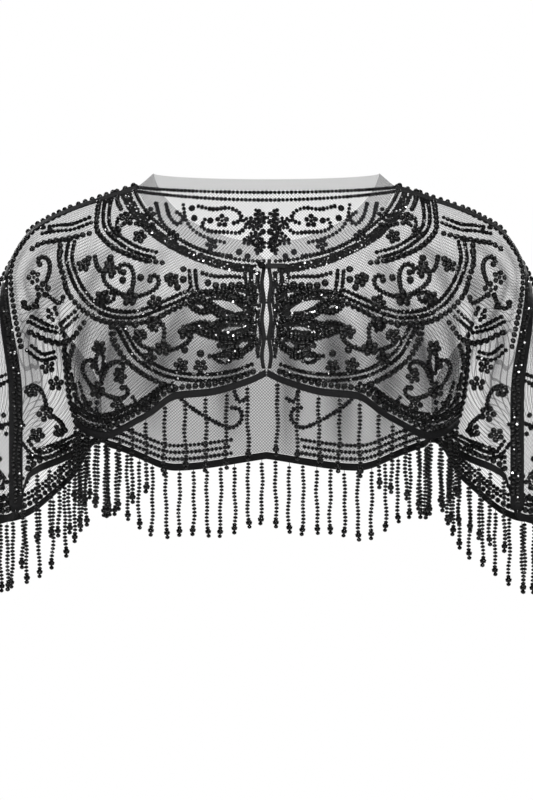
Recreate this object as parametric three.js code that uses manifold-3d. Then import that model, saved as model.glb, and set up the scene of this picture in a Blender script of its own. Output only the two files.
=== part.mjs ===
// Beaded net capelet in its worn form, hollow, with no wearer.
// Millimetres, +Z up. The front faces -Y, and +X is on the viewer's right.
// The origin is the middle of the neck opening, where the wearer's neck and shoulders hold it.
import * as THREE from 'three';
import Module from 'manifold-3d';

// Driving sizes
const NET_WALL = 1.0;
const BINDING_WALL = 1.4;
const TAPE_WALL = 1.0;
const SEAM_GAP = 0.3;
const HEM_BINDING_WIDTH = 7;
const EDGE_BINDING_WIDTH = 3.5;
const OVERARM_TAPE_WIDTH = 11;
const FASTENING_PITCH = 32.6;
const TOP_FASTENING_Z = -78;
const SLIT_HALF_GAP_CLOSED = 0.45;
const SLIT_HALF_GAP_OPEN = 2.3;

// Rings of the cloth from the neck down. `drop` is the ring's place between the neckline, 0, and 1, which lies
// below every hem. Half width, depth to the front and back, and the heights at the front, side and back.
const RINGS = [
  { name: 'facing edge', drop: -0.06, halfWidth: 104, front: 69, back: 70, zFront: -57, zSide: 10, zBack: 10 },
  { name: 'neckline', drop: 0, halfWidth: 119, front: 78, back: 75, zFront: -73, zSide: -2, zBack: 0 },
  { name: 'yoke', drop: 0.12, halfWidth: 145, front: 90, back: 83, zFront: -92, zSide: -11, zBack: -24 },
  { name: 'shoulder', drop: 0.25, halfWidth: 180, front: 100, back: 89, zFront: -111, zSide: -23, zBack: -50 },
  { name: 'shoulder tip', drop: 0.38, halfWidth: 216, front: 108, back: 93, zFront: -130, zSide: -43, zBack: -78 },
  { name: 'upper arm', drop: 0.5, halfWidth: 238, front: 113, back: 96, zFront: -147, zSide: -79, zBack: -108 },
  { name: 'chest', drop: 0.65, halfWidth: 253, front: 117, back: 98, zFront: -169, zSide: -137, zBack: -148 },
  { name: 'bust', drop: 0.8, halfWidth: 263, front: 119, back: 99, zFront: -199, zSide: -207, zBack: -196 },
  { name: 'below the hem', drop: 1, halfWidth: 270, front: 119, back: 98, zFront: -257, zSide: -337, zBack: -287 },
];

// Section of the lower cloth with its underarm folds, one side. `turn` runs from the centre front, 0, over the
// overarm seam, 1, to the centre back, 2.
const LOWER_SECTION = [
  { name: 'centre front', turn: 0, x: 0, y: -119 },
  { name: 'front', turn: 0.235, x: 86, y: -115 },
  { name: 'lower scallop', turn: 0.39, x: 140, y: -92 },
  { name: 'side of the front', turn: 0.47, x: 163, y: -72 },
  { name: 'ridge before the arm', turn: 0.54, x: 172, y: -50 },
  { name: 'into the front fold', turn: 0.675, x: 151, y: -9 },
  { name: 'underarm, front', turn: 0.7, x: 155, y: -0.9 },
  { name: 'out of the front fold', turn: 0.73, x: 162, y: -8 },
  { name: 'sleeve, inner front', turn: 0.82, x: 184, y: -36 },
  { name: 'sleeve, front', turn: 0.91, x: 206, y: -58 },
  { name: 'overarm seam', turn: 1, x: 226, y: -57 },
  { name: 'sleeve, outer front', turn: 1.08, x: 257, y: -33 },
  { name: 'sleeve, outside', turn: 1.17, x: 268, y: 4 },
  { name: 'sleeve, outer back', turn: 1.26, x: 253, y: 42 },
  { name: 'sleeve, back', turn: 1.35, x: 217, y: 62 },
  { name: 'sleeve, inner back', turn: 1.45, x: 180, y: 46 },
  { name: 'into the back fold', turn: 1.52, x: 162, y: 8 },
  { name: 'underarm, back', turn: 1.55, x: 155, y: 0.9 },
  { name: 'out of the back fold', turn: 1.575, x: 151, y: 9 },
  { name: 'side of the back', turn: 1.66, x: 149, y: 52 },
  { name: 'back', turn: 1.77, x: 108, y: 86 },
  { name: 'centre back', turn: 2, x: 0, y: 98 },
];
const FOLD_START = 0.42;
const FOLD_FULL = 0.79;

// Height of the scalloped hem along the same turn.
const HEM = [
  { name: 'centre front arch', turn: 0, z: -178 },
  { name: 'arch', turn: 0.035, z: -184.5 },
  { name: 'arch side', turn: 0.13, z: -195 },
  { name: 'scallop start', turn: 0.21, z: -198 },
  { name: 'scallop side', turn: 0.3, z: -218 },
  { name: 'lower scallop', turn: 0.4, z: -233.5 },
  { name: 'ridge before the arm', turn: 0.54, z: -222 },
  { name: 'underarm, front', turn: 0.7, z: -238 },
  { name: 'sleeve, inner front', turn: 0.82, z: -255 },
  { name: 'sleeve scallop', turn: 0.91, z: -264.5 },
  { name: 'sleeve scallop end', turn: 0.955, z: -272 },
  { name: 'overarm seam', turn: 1, z: -305 },
  { name: 'sleeve, outer front', turn: 1.09, z: -314 },
  { name: 'sleeve, outside', turn: 1.2, z: -308 },
  { name: 'sleeve, outer back', turn: 1.29, z: -313 },
  { name: 'sleeve, inner back', turn: 1.43, z: -277 },
  { name: 'underarm, back', turn: 1.55, z: -238 },
  { name: 'side of the back', turn: 1.68, z: -244 },
  { name: 'back scallop', turn: 1.82, z: -266 },
  { name: 'centre back', turn: 2, z: -255 },
];

// Fringe strands: radius along the drop, a bare thread at the root and a bead near the end.
const STRAND = [
  { name: 'root in the binding', drop: 0, radius: 0.5 },
  { name: 'thread', drop: 0.07, radius: 0.5 },
  { name: 'first bead', drop: 0.1, radius: 1.5 },
  { name: 'above the end bead', drop: 0.9, radius: 1.5 },
  { name: 'end bead', drop: 0.95, radius: 3 },
  { name: 'tip', drop: 1, radius: 0.8 },
];
const STRAND_SIDES = 3;
const STRAND_ROOT = 2.5;
const FRINGE_LENGTH = 67;
const FRINGE_LENGTH_VARIATION = 3;
const CENTRE_FRINGE_PITCH = 18;
const SIDE_FRINGE_PITCH = 13;
const CENTRE_FRINGE_END = 0.27;
const UNDERARM_FRONT = 0.7;
const UNDERARM_BACK = 1.55;
const UNDERARM_FRINGE_GAP = 0.055;

// Materials
const netBlack = new THREE.MeshStandardMaterial({ color: 0x2b2b2e, roughness: 0.85, metalness: 0 });
const satinBlack = new THREE.MeshStandardMaterial({ color: 0x141416, roughness: 0.4, metalness: 0 });
const beadBlack = new THREE.MeshStandardMaterial({ color: 0x060607, roughness: 0.15, metalness: 0 });
const hookBlack = new THREE.MeshStandardMaterial({ color: 0x1b1b1d, roughness: 0.35, metalness: 0.8 });

// A monotone cubic through one column of a table: no overshoot between its rows.
function smoothColumn(rows, place, column) {
  const steps = rows.slice(1).map((row, i) => row[place] - rows[i][place]);
  const rises = rows.slice(1).map((row, i) => (row[column] - rows[i][column]) / steps[i]);
  const slopes = rows.map((row, i) => {
    if (i === 0) return rises[0];
    if (i === rows.length - 1) return rises[i - 1];
    if (rises[i - 1] * rises[i] <= 0) return 0;
    const before = 2 * steps[i] + steps[i - 1];
    const after = steps[i] + 2 * steps[i - 1];
    return (before + after) / (before / rises[i - 1] + after / rises[i]);
  });
  return (at) => {
    let i = 0;
    while (i < steps.length - 1 && at > rows[i + 1][place]) i += 1;
    const t = (at - rows[i][place]) / steps[i];
    const start = (2 * t ** 3 - 3 * t ** 2 + 1) * rows[i][column];
    const end = (3 * t ** 2 - 2 * t ** 3) * rows[i + 1][column];
    const startSlope = (t ** 3 - 2 * t ** 2 + t) * steps[i] * slopes[i];
    const endSlope = (t ** 3 - t ** 2) * steps[i] * slopes[i + 1];
    return start + end + startSlope + endSlope;
  };
}

const ring = {};
for (const column of ['halfWidth', 'front', 'back', 'zFront', 'zSide', 'zBack']) {
  ring[column] = smoothColumn(RINGS, 'drop', column);
}
const lowerX = smoothColumn(LOWER_SECTION, 'turn', 'x');
const lowerY = smoothColumn(LOWER_SECTION, 'turn', 'y');
const hemZ = smoothColumn(HEM, 'turn', 'z');
const { lerp, smoothstep, clamp } = THREE.MathUtils;

// Round the whole garment a turn runs 0 centre front, 1 right seam, 2 centre back, 3 left seam, 4 centre front.
const foldedTurn = (turn) => (turn <= 2 ? turn : 4 - turn);
const sideOf = (turn) => (turn <= 2 ? 1 : -1);

function slitHalfGap(z) {
  const phase = Math.PI * (z - TOP_FASTENING_Z) / FASTENING_PITCH;
  return lerp(SLIT_HALF_GAP_CLOSED, SLIT_HALF_GAP_OPEN, Math.sin(phase) ** 2);
}

// How far a ring has sunk from its side height to its front or back height, rounded over the shoulder.
const SINK_POWER = 1.2;
const SHOULDER_ROUNDING = 0.14;

function ringSink(cosine) {
  const sink = (value) => Math.hypot(value, SHOULDER_ROUNDING) ** SINK_POWER - SHOULDER_ROUNDING ** SINK_POWER;
  return sink(cosine) / sink(1);
}

function clothHeight(turn, drop) {
  const cosine = Math.cos(foldedTurn(turn) * Math.PI / 2);
  const end = cosine > 0 ? ring.zFront(drop) : ring.zBack(drop);
  return lerp(ring.zSide(drop), end, ringSink(cosine));
}

function clothPoint(turn, drop) {
  const along = foldedTurn(turn);
  const angle = along * Math.PI / 2;
  const depth = Math.cos(angle) > 0 ? ring.front(drop) : ring.back(drop);
  const z = clothHeight(turn, drop);
  const fold = smoothstep(drop, FOLD_START, FOLD_FULL);
  const slit = slitHalfGap(z) * Math.max(Math.cos(angle), 0) ** 2;
  const x = lerp(ring.halfWidth(drop) * Math.sin(angle), lowerX(along), fold) + slit;
  const y = lerp(-depth * Math.cos(angle), lowerY(along), fold);
  return new THREE.Vector3(sideOf(turn) * x, y, z);
}

const TINY = 1e-4;

function clothSlopes(turn, drop) {
  const before = clamp(turn - TINY, 0, 4);
  const after = clamp(turn + TINY, 0, 4);
  const across = clothPoint(after, drop).sub(clothPoint(before, drop)).divideScalar(after - before);
  const down = clothPoint(turn, drop + TINY).sub(clothPoint(turn, drop - TINY)).divideScalar(2 * TINY);
  return { across, down };
}

// A point of the cloth moved out by `out` along its outward normal.
function movedOut(turn, drop, out) {
  const { across, down } = clothSlopes(turn, drop);
  return clothPoint(turn, drop).addScaledVector(down.cross(across).normalize(), out);
}

// The place on the cloth a few millimetres across or down from another.
const stepAcross = (turn, drop, mm) => turn + mm / clothSlopes(turn, drop).across.length();
const stepDown = (turn, drop, mm) => drop + mm / clothSlopes(turn, drop).down.length();

// Where the cloth reaches a height, by halving.
function dropAtHeight(turn, z) {
  let above = 0;
  let below = 1;
  for (let i = 0; i < 40; i += 1) {
    const middle = (above + below) / 2;
    if (clothHeight(turn, middle) > z) above = middle;
    else below = middle;
  }
  return below;
}

const hemDrop = (turn) => dropAtHeight(turn, hemZ(foldedTurn(turn)));

// Turns evenly spaced along the lower section, so that folds get as many columns as their length needs.
function evenTurns(from, to, count) {
  const FINE = 2000;
  const turns = Array.from({ length: FINE + 1 }, (_, i) => lerp(from, to, i / FINE));
  const lengths = [0];
  for (let i = 1; i <= FINE; i += 1) {
    lengths.push(lengths[i - 1] + clothPoint(turns[i], 1).distanceTo(clothPoint(turns[i - 1], 1)));
  }
  const total = lengths[FINE];
  return Array.from({ length: count + 1 }, (_, i) => {
    const wanted = total * i / count;
    const k = clamp(lengths.findIndex((length) => length > wanted), 1, FINE);
    if (i === count) return to;
    return lerp(turns[k - 1], turns[k], (wanted - lengths[k - 1]) / (lengths[k] - lengths[k - 1]));
  });
}

// A closed wall over a lattice of places on the cloth, between two distances out from it.
function wallGeometry(lattice, inside, outside) {
  const rows = lattice.length;
  const columns = lattice[0].length;
  const positions = [];
  for (const out of [outside, inside]) {
    for (const row of lattice) {
      for (const { turn, drop } of row) positions.push(...movedOut(turn, drop, out).toArray());
    }
  }
  const layer = rows * columns;
  const faces = [];
  const quad = (a, b, c, d) => faces.push(a, b, c, a, c, d);
  for (let r = 0; r < rows - 1; r += 1) {
    for (let c = 0; c < columns - 1; c += 1) {
      const a = r * columns + c;
      quad(a, a + columns, a + columns + 1, a + 1);
      quad(layer + a, layer + a + 1, layer + a + columns + 1, layer + a + columns);
    }
  }
  for (let c = 0; c < columns - 1; c += 1) {
    const bottom = (rows - 1) * columns + c;
    quad(c, c + 1, layer + c + 1, layer + c);
    quad(bottom + 1, bottom, layer + bottom, layer + bottom + 1);
  }
  for (let r = 0; r < rows - 1; r += 1) {
    const left = r * columns;
    const right = left + columns - 1;
    quad(left + columns, left, layer + left, layer + left + columns);
    quad(right, right + columns, layer + right + columns, layer + right);
  }
  const geometry = new THREE.BufferGeometry();
  geometry.setAttribute('position', new THREE.Float32BufferAttribute(positions, 3));
  geometry.setIndex(faces);
  geometry.computeVertexNormals();
  return geometry;
}

// A column follows one turn of the cloth, or stays `inset` millimetres across from it.
const plainColumns = (turns) => turns.map((turn) => ({ turn, inset: 0 }));

// A lattice with even rows between an upper and a lower line.
function lattice(columns, rows, upper, lower) {
  return Array.from({ length: rows + 1 }, (_, r) => columns.map(({ turn: base, inset }) => {
    const level = lerp(upper(base), lower(base), r / rows);
    const turn = inset === 0 ? base : stepAcross(base, level, inset);
    return { turn, drop: lerp(upper(turn), lower(turn), r / rows) };
  }));
}

const wasm = await Module();
wasm.setup();

function toManifold(geometry) {
  const mesh = new wasm.Mesh({
    numProp: 3,
    vertProperties: new Float32Array(geometry.getAttribute('position').array),
    triVerts: new Uint32Array(geometry.getIndex().array),
  });
  mesh.merge();
  return new wasm.Manifold(mesh);
}

function fromManifold(solid) {
  const mesh = solid.getMesh();
  const geometry = new THREE.BufferGeometry();
  geometry.setAttribute('position', new THREE.BufferAttribute(mesh.vertProperties, 3));
  geometry.setIndex(new THREE.BufferAttribute(mesh.triVerts, 1));
  geometry.computeVertexNormals();
  return geometry;
}

const capelet = new THREE.Group();
capelet.name = 'capelet';

function addPiece(name, geometry, material, parent = capelet) {
  const mesh = new THREE.Mesh(geometry, material);
  mesh.name = name;
  parent.add(mesh);
}

// Panels end above the hem binding, and beside the seams and edge bindings.
const panelTop = (turn) => stepDown(turn, 0, SEAM_GAP / 2);
const panelHem = (turn) => stepDown(turn, hemDrop(turn), -HEM_BINDING_WIDTH - SEAM_GAP);

// Columns from one edge to the other. Stops are the turns that must have a column of their own.
// Beside an overarm seam a column lies half a tape in, so that the tape can lie parallel to the panel's facets.
function pieceColumns(stops, counts, seamInset, centreInset) {
  const turns = counts.flatMap((count, i) => evenTurns(stops[i], stops[i + 1], count).slice(i === 0 ? 0 : 1));
  const columns = plainColumns(turns);
  const last = columns.length - 1;
  for (const [edge, next, inward] of [[0, 1, 1], [last, last - 1, -1]]) {
    const atSeam = turns[edge] % 2 === 1;
    columns[edge].inset = inward * (atSeam ? seamInset : centreInset);
    if (atSeam) columns[next] = { turn: turns[edge], inset: inward * OVERARM_TAPE_WIDTH / 2 };
  }
  return columns;
}

const PANELS = [
  { side: 'right', name: 'front_right', stops: [0, UNDERARM_FRONT, 1], counts: [25, 11] },
  { side: 'back', name: 'back', stops: [1, UNDERARM_BACK, 4 - UNDERARM_BACK, 3], counts: [18, 24, 18] },
  { side: 'left', name: 'front_left', stops: [3, 4 - UNDERARM_FRONT, 4], counts: [11, 25] },
];
const PANEL_ROWS = 14;
const EDGE_INSET = EDGE_BINDING_WIDTH + SEAM_GAP;

function addPanels() {
  for (const { name, stops, counts } of PANELS) {
    const columns = pieceColumns(stops, counts, SEAM_GAP / 2, EDGE_INSET);
    const places = lattice(columns, PANEL_ROWS, panelTop, panelHem);
    addPiece(name, wallGeometry(places, -NET_WALL / 2, NET_WALL / 2), netBlack);
  }
}

// The facing stands above the neckline, and its front ends slope away from the centre in a V.
const FACING_COLUMNS = 44;
const FACING_TOP = -0.06;
const FACING_V = 13;

function addNeckFacing() {
  const turns = Array.from({ length: FACING_COLUMNS + 1 }, (_, i) => lerp(0, 4, i / FACING_COLUMNS));
  const bottom = (turn) => stepDown(turn, 0, -SEAM_GAP / 2);
  const places = lattice(plainColumns(turns), 1, () => FACING_TOP, bottom);
  for (const [row, slope] of [[places[0], FACING_V], [places[1], SEAM_GAP]]) {
    row[0].turn = stepAcross(0, row[0].drop, slope);
    row[FACING_COLUMNS].turn = stepAcross(4, row[0].drop, -slope);
  }
  addPiece('neck_facing', wallGeometry(places, -NET_WALL / 2, NET_WALL / 2), netBlack);
}

function addFrontEdges() {
  for (const [name, turn, insets] of [
    ['front_edge_right', 0, [0, EDGE_BINDING_WIDTH]],
    ['front_edge_left', 4, [-EDGE_BINDING_WIDTH, 0]],
  ]) {
    const columns = insets.map((inset) => ({ turn, inset }));
    const places = lattice(columns, PANEL_ROWS, panelTop, panelHem);
    addPiece(name, wallGeometry(places, -BINDING_WALL / 2, BINDING_WALL / 2), satinBlack);
  }
}

// Satin tape over each overarm seam, from the neckline to the hem binding.
function addOverarmTapes() {
  const inside = NET_WALL / 2 + SEAM_GAP;
  for (const [name, turn] of [['overarm_tape_right', 1], ['overarm_tape_left', 3]]) {
    const columns = [-0.5, 0, 0.5].map((share) => ({ turn, inset: share * OVERARM_TAPE_WIDTH }));
    const places = lattice(columns, PANEL_ROWS, panelTop, panelHem);
    addPiece(name, wallGeometry(places, inside, inside + TAPE_WALL), satinBlack);
  }
}

function strandSolid(root, length) {
  const rings = STRAND.map(({ drop, radius }) => ({ z: root.z - drop * length, radius }));
  const profile = [...rings].reverse();
  const points = [];
  for (const { z, radius } of profile) {
    for (let k = 0; k < STRAND_SIDES; k += 1) {
      const angle = 2 * Math.PI * (k + 0.5) / STRAND_SIDES;
      points.push(root.x + radius * Math.cos(angle), root.y + radius * Math.sin(angle), z);
    }
  }
  const faces = [];
  const last = (profile.length - 1) * STRAND_SIDES;
  for (let level = 0; level < last; level += STRAND_SIDES) {
    for (let k = 0; k < STRAND_SIDES; k += 1) {
      const next = (k + 1) % STRAND_SIDES;
      faces.push(level + k, level + next, level + STRAND_SIDES + next);
      faces.push(level + k, level + STRAND_SIDES + next, level + STRAND_SIDES + k);
    }
  }
  faces.push(0, 2, 1);
  faces.push(last, last + 1, last + 2);
  const geometry = new THREE.BufferGeometry();
  geometry.setAttribute('position', new THREE.Float32BufferAttribute(points, 3));
  geometry.setIndex(faces);
  return toManifold(geometry);
}

// Turns of the strands: a pitch measured level along the hem.
function strandTurns(from, to) {
  const STEP = 0.0005;
  const turns = [];
  let run = 0;
  let previous = clothPoint(from, hemDrop(from));
  for (let turn = from + STEP; turn < to; turn += STEP) {
    const point = clothPoint(turn, hemDrop(turn));
    run += Math.hypot(point.x - previous.x, point.y - previous.y);
    previous = point;
    const along = foldedTurn(turn);
    const pitch = along < CENTRE_FRINGE_END ? CENTRE_FRINGE_PITCH : SIDE_FRINGE_PITCH;
    const inFold = [UNDERARM_FRONT, UNDERARM_BACK].some((fold) => Math.abs(along - fold) < UNDERARM_FRINGE_GAP);
    if (!inFold && run >= pitch * (turns.length ? 1 : 0.5)) {
      turns.push(turn);
      run = 0;
    }
  }
  return turns;
}

// A point on the flat facet of the binding that a turn falls in, so that the strand's root is inside the binding.
function rootOnBinding(turns, turn) {
  const after = clamp(turns.findIndex((value) => value > turn), 1, turns.length - 1);
  const ends = [turns[after - 1], turns[after]];
  const [start, end] = ends.map((value) => clothPoint(value, stepDown(value, hemDrop(value), -STRAND_ROOT)));
  return start.lerp(end, (turn - ends[0]) / (ends[1] - ends[0]));
}

// The hem binding stands in line below the panel's edge, and carries the strands.
function addHemFringes() {
  const upper = (turn) => stepDown(turn, hemDrop(turn), -HEM_BINDING_WIDTH);
  for (const { side, stops, counts } of PANELS) {
    const columns = pieceColumns(stops, counts, SEAM_GAP / 2, 0);
    const places = lattice(columns, 1, upper, hemDrop);
    const solids = [toManifold(wallGeometry(places, -BINDING_WALL / 2, BINDING_WALL / 2))];
    const edgeTurns = places[1].map((place) => place.turn);
    strandTurns(stops[0], stops[stops.length - 1]).forEach((turn, i) => {
      const length = FRINGE_LENGTH + FRINGE_LENGTH_VARIATION * Math.sin(5.1 * i);
      solids.push(strandSolid(rootOnBinding(edgeTurns, turn), length));
    });
    addPiece(`hem_fringe_${side}`, fromManifold(wasm.Manifold.union(solids)), beadBlack);
  }
}

// A group on the centre front: its Y axis points into the garment and its Z axis runs up the cloth.
function centreFrame(z) {
  const drop = dropAtHeight(0, z);
  const place = clothPoint(0, drop);
  const { down } = clothSlopes(0, drop);
  const frame = new THREE.Group();
  frame.position.set(0, place.y, place.z);
  frame.rotation.x = Math.atan2(down.y, -down.z);
  capelet.add(frame);
  return frame;
}

// Behind the edges an eye hangs on the left, and a hook from the right drops its tip through it.
const HOOKS = 3;
const WIRE = 0.8;
const EYE = { left: -6.5, right: 1.6, height: 4.2, rim: 1.1, rimLeft: 4.6 };
const HOOK = { right: 6.5, height: 1.2, tip: 1.1 };
const EDGE_INSIDE = BINDING_WALL / 2 + SEAM_GAP;

function eyeGeometry() {
  const shape = new THREE.Shape();
  shape.moveTo(EYE.left, -EYE.height / 2);
  shape.lineTo(EYE.right, -EYE.height / 2);
  shape.lineTo(EYE.right, EYE.height / 2);
  shape.lineTo(EYE.left, EYE.height / 2);
  const hole = new THREE.Path();
  const bottom = -EYE.height / 2 + EYE.rim;
  hole.moveTo(EYE.left + EYE.rimLeft, bottom);
  hole.lineTo(EYE.left + EYE.rimLeft, -bottom);
  hole.lineTo(EYE.right - EYE.rim, -bottom);
  hole.lineTo(EYE.right - EYE.rim, bottom);
  shape.holes.push(hole);
  const geometry = new THREE.ExtrudeGeometry(shape, { depth: WIRE, bevelEnabled: false });
  geometry.rotateX(Math.PI / 2);
  geometry.translate(0, EDGE_INSIDE + WIRE, 0);
  return geometry;
}

function hookGeometry() {
  const back = EDGE_INSIDE + WIRE + SEAM_GAP;
  const tipLeft = EYE.left + EYE.rimLeft + SEAM_GAP;
  const shape = new THREE.Shape();
  shape.moveTo(tipLeft, EDGE_INSIDE);
  shape.lineTo(tipLeft + HOOK.tip, EDGE_INSIDE);
  shape.lineTo(tipLeft + HOOK.tip, back);
  shape.lineTo(HOOK.right, back);
  shape.lineTo(HOOK.right, back + WIRE);
  shape.lineTo(tipLeft, back + WIRE);
  const geometry = new THREE.ExtrudeGeometry(shape, { depth: HOOK.height, bevelEnabled: false });
  geometry.translate(0, 0, -HOOK.height / 2);
  return geometry;
}

function addHooks() {
  for (let i = 1; i <= HOOKS; i += 1) {
    const frame = centreFrame(TOP_FASTENING_Z - i * FASTENING_PITCH);
    addPiece(`eye_${i}`, eyeGeometry(), hookBlack, frame);
    addPiece(`hook_${i}`, hookGeometry(), hookBlack, frame);
  }
}

// The neck button stands on the left front on a shank, which the right front's loop goes round.
const BUTTON = { x: -4.6, radius: 4, thickness: 4.6, shankRadius: 1, shank: 2.2 };
const LOOP = { radius: 2.2, wire: 0.8 };
const LOOP_TAB = { left: -2.8, right: 17, height: 5, thickness: 1.2 };

function buttonGeometry() {
  const profile = [[0, 0], [BUTTON.shankRadius, 0], [BUTTON.shankRadius, BUTTON.shank]];
  const STEPS = 6;
  for (let i = 1; i <= STEPS; i += 1) {
    const angle = Math.PI * i / STEPS;
    const rise = BUTTON.shank + BUTTON.thickness / 2 * (1 - Math.cos(angle));
    profile.push([i === STEPS ? 0 : BUTTON.radius * Math.sin(angle), rise]);
  }
  const geometry = new THREE.LatheGeometry(profile.map(([x, y]) => new THREE.Vector2(x, y)), 14);
  geometry.rotateX(Math.PI);
  geometry.translate(BUTTON.x, -EDGE_INSIDE, 0);
  return geometry;
}

function loopSolid() {
  const ring = new THREE.TorusGeometry(LOOP.radius, LOOP.wire, 6, 14);
  ring.rotateX(Math.PI / 2);
  ring.translate(BUTTON.x, -EDGE_INSIDE - LOOP.wire, 0);
  const width = LOOP_TAB.right - LOOP_TAB.left;
  const tab = new THREE.BoxGeometry(width, LOOP_TAB.thickness, LOOP_TAB.height);
  tab.translate(LOOP_TAB.left + width / 2, -EDGE_INSIDE - LOOP_TAB.thickness / 2, 0);
  return fromManifold(toManifold(ring).add(toManifold(tab)));
}

function addNeckFastening() {
  const frame = centreFrame(TOP_FASTENING_Z - 2);
  addPiece('neck_button', buttonGeometry(), beadBlack, frame);
  addPiece('neck_loop', loopSolid(), satinBlack, frame);
}

addPanels();
addNeckFacing();
addFrontEdges();
addOverarmTapes();
addHemFringes();
addHooks();
addNeckFastening();

export default capelet;
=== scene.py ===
"""Looks of a black beaded net capelet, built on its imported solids.

Metres, +Z up. The front faces -Y and +X is on the viewer's right of the front.
The cloth follows the same tables of sizes as the solids, in millimetres.
"""

import math

import bmesh
import bpy
import numpy as np
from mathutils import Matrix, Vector


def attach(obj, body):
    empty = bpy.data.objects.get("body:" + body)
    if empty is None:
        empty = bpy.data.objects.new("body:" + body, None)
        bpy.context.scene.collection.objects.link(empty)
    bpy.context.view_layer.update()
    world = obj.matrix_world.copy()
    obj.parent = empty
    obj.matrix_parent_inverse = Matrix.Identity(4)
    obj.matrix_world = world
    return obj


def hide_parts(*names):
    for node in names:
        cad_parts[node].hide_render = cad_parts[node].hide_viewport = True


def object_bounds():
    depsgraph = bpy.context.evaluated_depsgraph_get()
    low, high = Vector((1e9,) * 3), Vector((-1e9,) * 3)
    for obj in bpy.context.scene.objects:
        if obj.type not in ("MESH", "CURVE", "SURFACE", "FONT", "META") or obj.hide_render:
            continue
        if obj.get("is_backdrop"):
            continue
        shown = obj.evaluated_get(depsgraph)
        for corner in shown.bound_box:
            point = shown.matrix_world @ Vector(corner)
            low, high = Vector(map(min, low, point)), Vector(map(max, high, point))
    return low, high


MM = 0.001

# Sizes of the cloth and its trims, in millimetres
NET_THICKNESS = 0.25
BINDING_WALL = 1.4
SEAM_GAP = 0.3
HEM_BINDING_WIDTH = 7
EDGE_BINDING_WIDTH = 3.5
FASTENING_PITCH = 32.6
TOP_FASTENING_Z = -78
SLIT_HALF_GAP_CLOSED = 0.45
SLIT_HALF_GAP_OPEN = 2.3
FOLD_START = 0.42
FOLD_FULL = 0.79
SINK_POWER = 1.2
SHOULDER_ROUNDING = 0.14

# The photograph's view
VIEW_DISTANCE = 2.6
VIEW_PLANE_Y = -0.06
VIEW_HEIGHT_Z = -0.1986
VIEW_SPAN = 0.72
SENSOR_HEIGHT = 24.0


def table(columns, *rows):
    """Rows of values as dicts with these column names."""
    return [dict(zip(columns.split(), row)) for row in rows]


# Rings of the cloth: drop, half width, depth to the front and back, heights at the front, side and back.
RINGS = table(
    "drop half_width front back z_front z_side z_back",
    (-0.06, 104, 69, 70, -57, 10, 10), (0.0, 119, 78, 75, -73, -2, 0), (0.12, 145, 90, 83, -92, -11, -24),
    (0.25, 180, 100, 89, -111, -23, -50), (0.38, 216, 108, 93, -130, -43, -78),
    (0.5, 238, 113, 96, -147, -79, -108), (0.65, 253, 117, 98, -169, -137, -148),
    (0.8, 263, 119, 99, -199, -207, -196), (1.0, 270, 119, 98, -257, -337, -287),
)

# Section of the lower cloth with its underarm folds. Turn 0 is the centre front, 1 the overarm seam
# and 2 the centre back.
LOWER_SECTION = table(
    "turn x y",
    (0, 0, -119), (0.235, 86, -115), (0.39, 140, -92), (0.47, 163, -72), (0.54, 172, -50),
    (0.675, 151, -9), (0.7, 155, -0.9), (0.73, 162, -8), (0.82, 184, -36), (0.91, 206, -58),
    (1, 226, -57), (1.08, 257, -33), (1.17, 268, 4), (1.26, 253, 42), (1.35, 217, 62), (1.45, 180, 46),
    (1.52, 162, 8), (1.55, 155, 0.9), (1.575, 151, 9), (1.66, 149, 52), (1.77, 108, 86), (2, 0, 98),
)

# Height of the scalloped hem along the same turn
HEM = table(
    "turn z",
    (0, -178), (0.035, -184.5), (0.13, -195), (0.21, -198), (0.3, -218), (0.4, -233.5), (0.54, -222),
    (0.7, -238), (0.82, -255), (0.91, -264.5), (0.955, -272), (1, -305), (1.09, -314), (1.2, -308),
    (1.29, -313), (1.43, -277), (1.55, -238), (1.68, -244), (1.82, -266), (2, -255),
)

# Soft creases: turn and drop of both ends, width and depth in millimetres.
# Troughs are negative.
CREASES = table(
    "top bottom width depth",
    ((0.30, 0.30), (0.40, 0.80), 7, -1.6), ((0.43, 0.34), (0.50, 0.86), 6, 1.8),
    ((0.16, 0.12), (0.19, 0.52), 5, -0.9), ((0.62, 0.22), (0.58, 0.80), 9, -2.4),
    ((0.74, 0.24), (0.79, 0.86), 8, 2.0), ((0.86, 0.32), (0.90, 0.92), 6, -1.5),
    ((1.13, 0.40), (1.12, 0.94), 9, 1.8), ((1.24, 0.45), (1.23, 0.92), 8, -2.2),
    ((1.36, 0.36), (1.33, 0.88), 10, 1.7), ((1.48, 0.25), (1.49, 0.78), 8, -2.2),
    ((1.66, 0.30), (1.64, 0.82), 9, 2.2), ((1.74, 0.42), (1.76, 0.90), 7, -2.0),
    ((1.86, 0.38), (1.85, 0.93), 8, 2.3), ((1.95, 0.50), (1.96, 0.94), 5, -1.8),
    ((2.09, 0.44), (2.07, 0.90), 7, 2.1), ((2.19, 0.34), (2.23, 0.88), 8, -1.9),
    ((2.33, 0.28), (2.36, 0.80), 9, 2.0), ((2.50, 0.26), (2.51, 0.80), 9, -2.0),
    ((2.66, 0.38), (2.68, 0.90), 9, 1.9), ((2.78, 0.46), (2.80, 0.93), 8, -1.6),
    ((2.89, 0.42), (2.86, 0.90), 7, 1.8), ((3.12, 0.34), (3.09, 0.92), 6, -1.6),
    ((3.25, 0.22), (3.20, 0.86), 8, 1.9), ((3.37, 0.24), (3.41, 0.78), 9, -2.3),
    ((3.56, 0.36), (3.51, 0.84), 6, 1.7), ((3.71, 0.28), (3.61, 0.82), 7, -1.5),
    ((3.85, 0.14), (3.80, 0.50), 5, -0.8),
)
CREASE_TURN_LENGTH = 290
CREASE_FADE = 0.7


def lerp(start, end, share):
    return start + (end - start) * share


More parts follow.
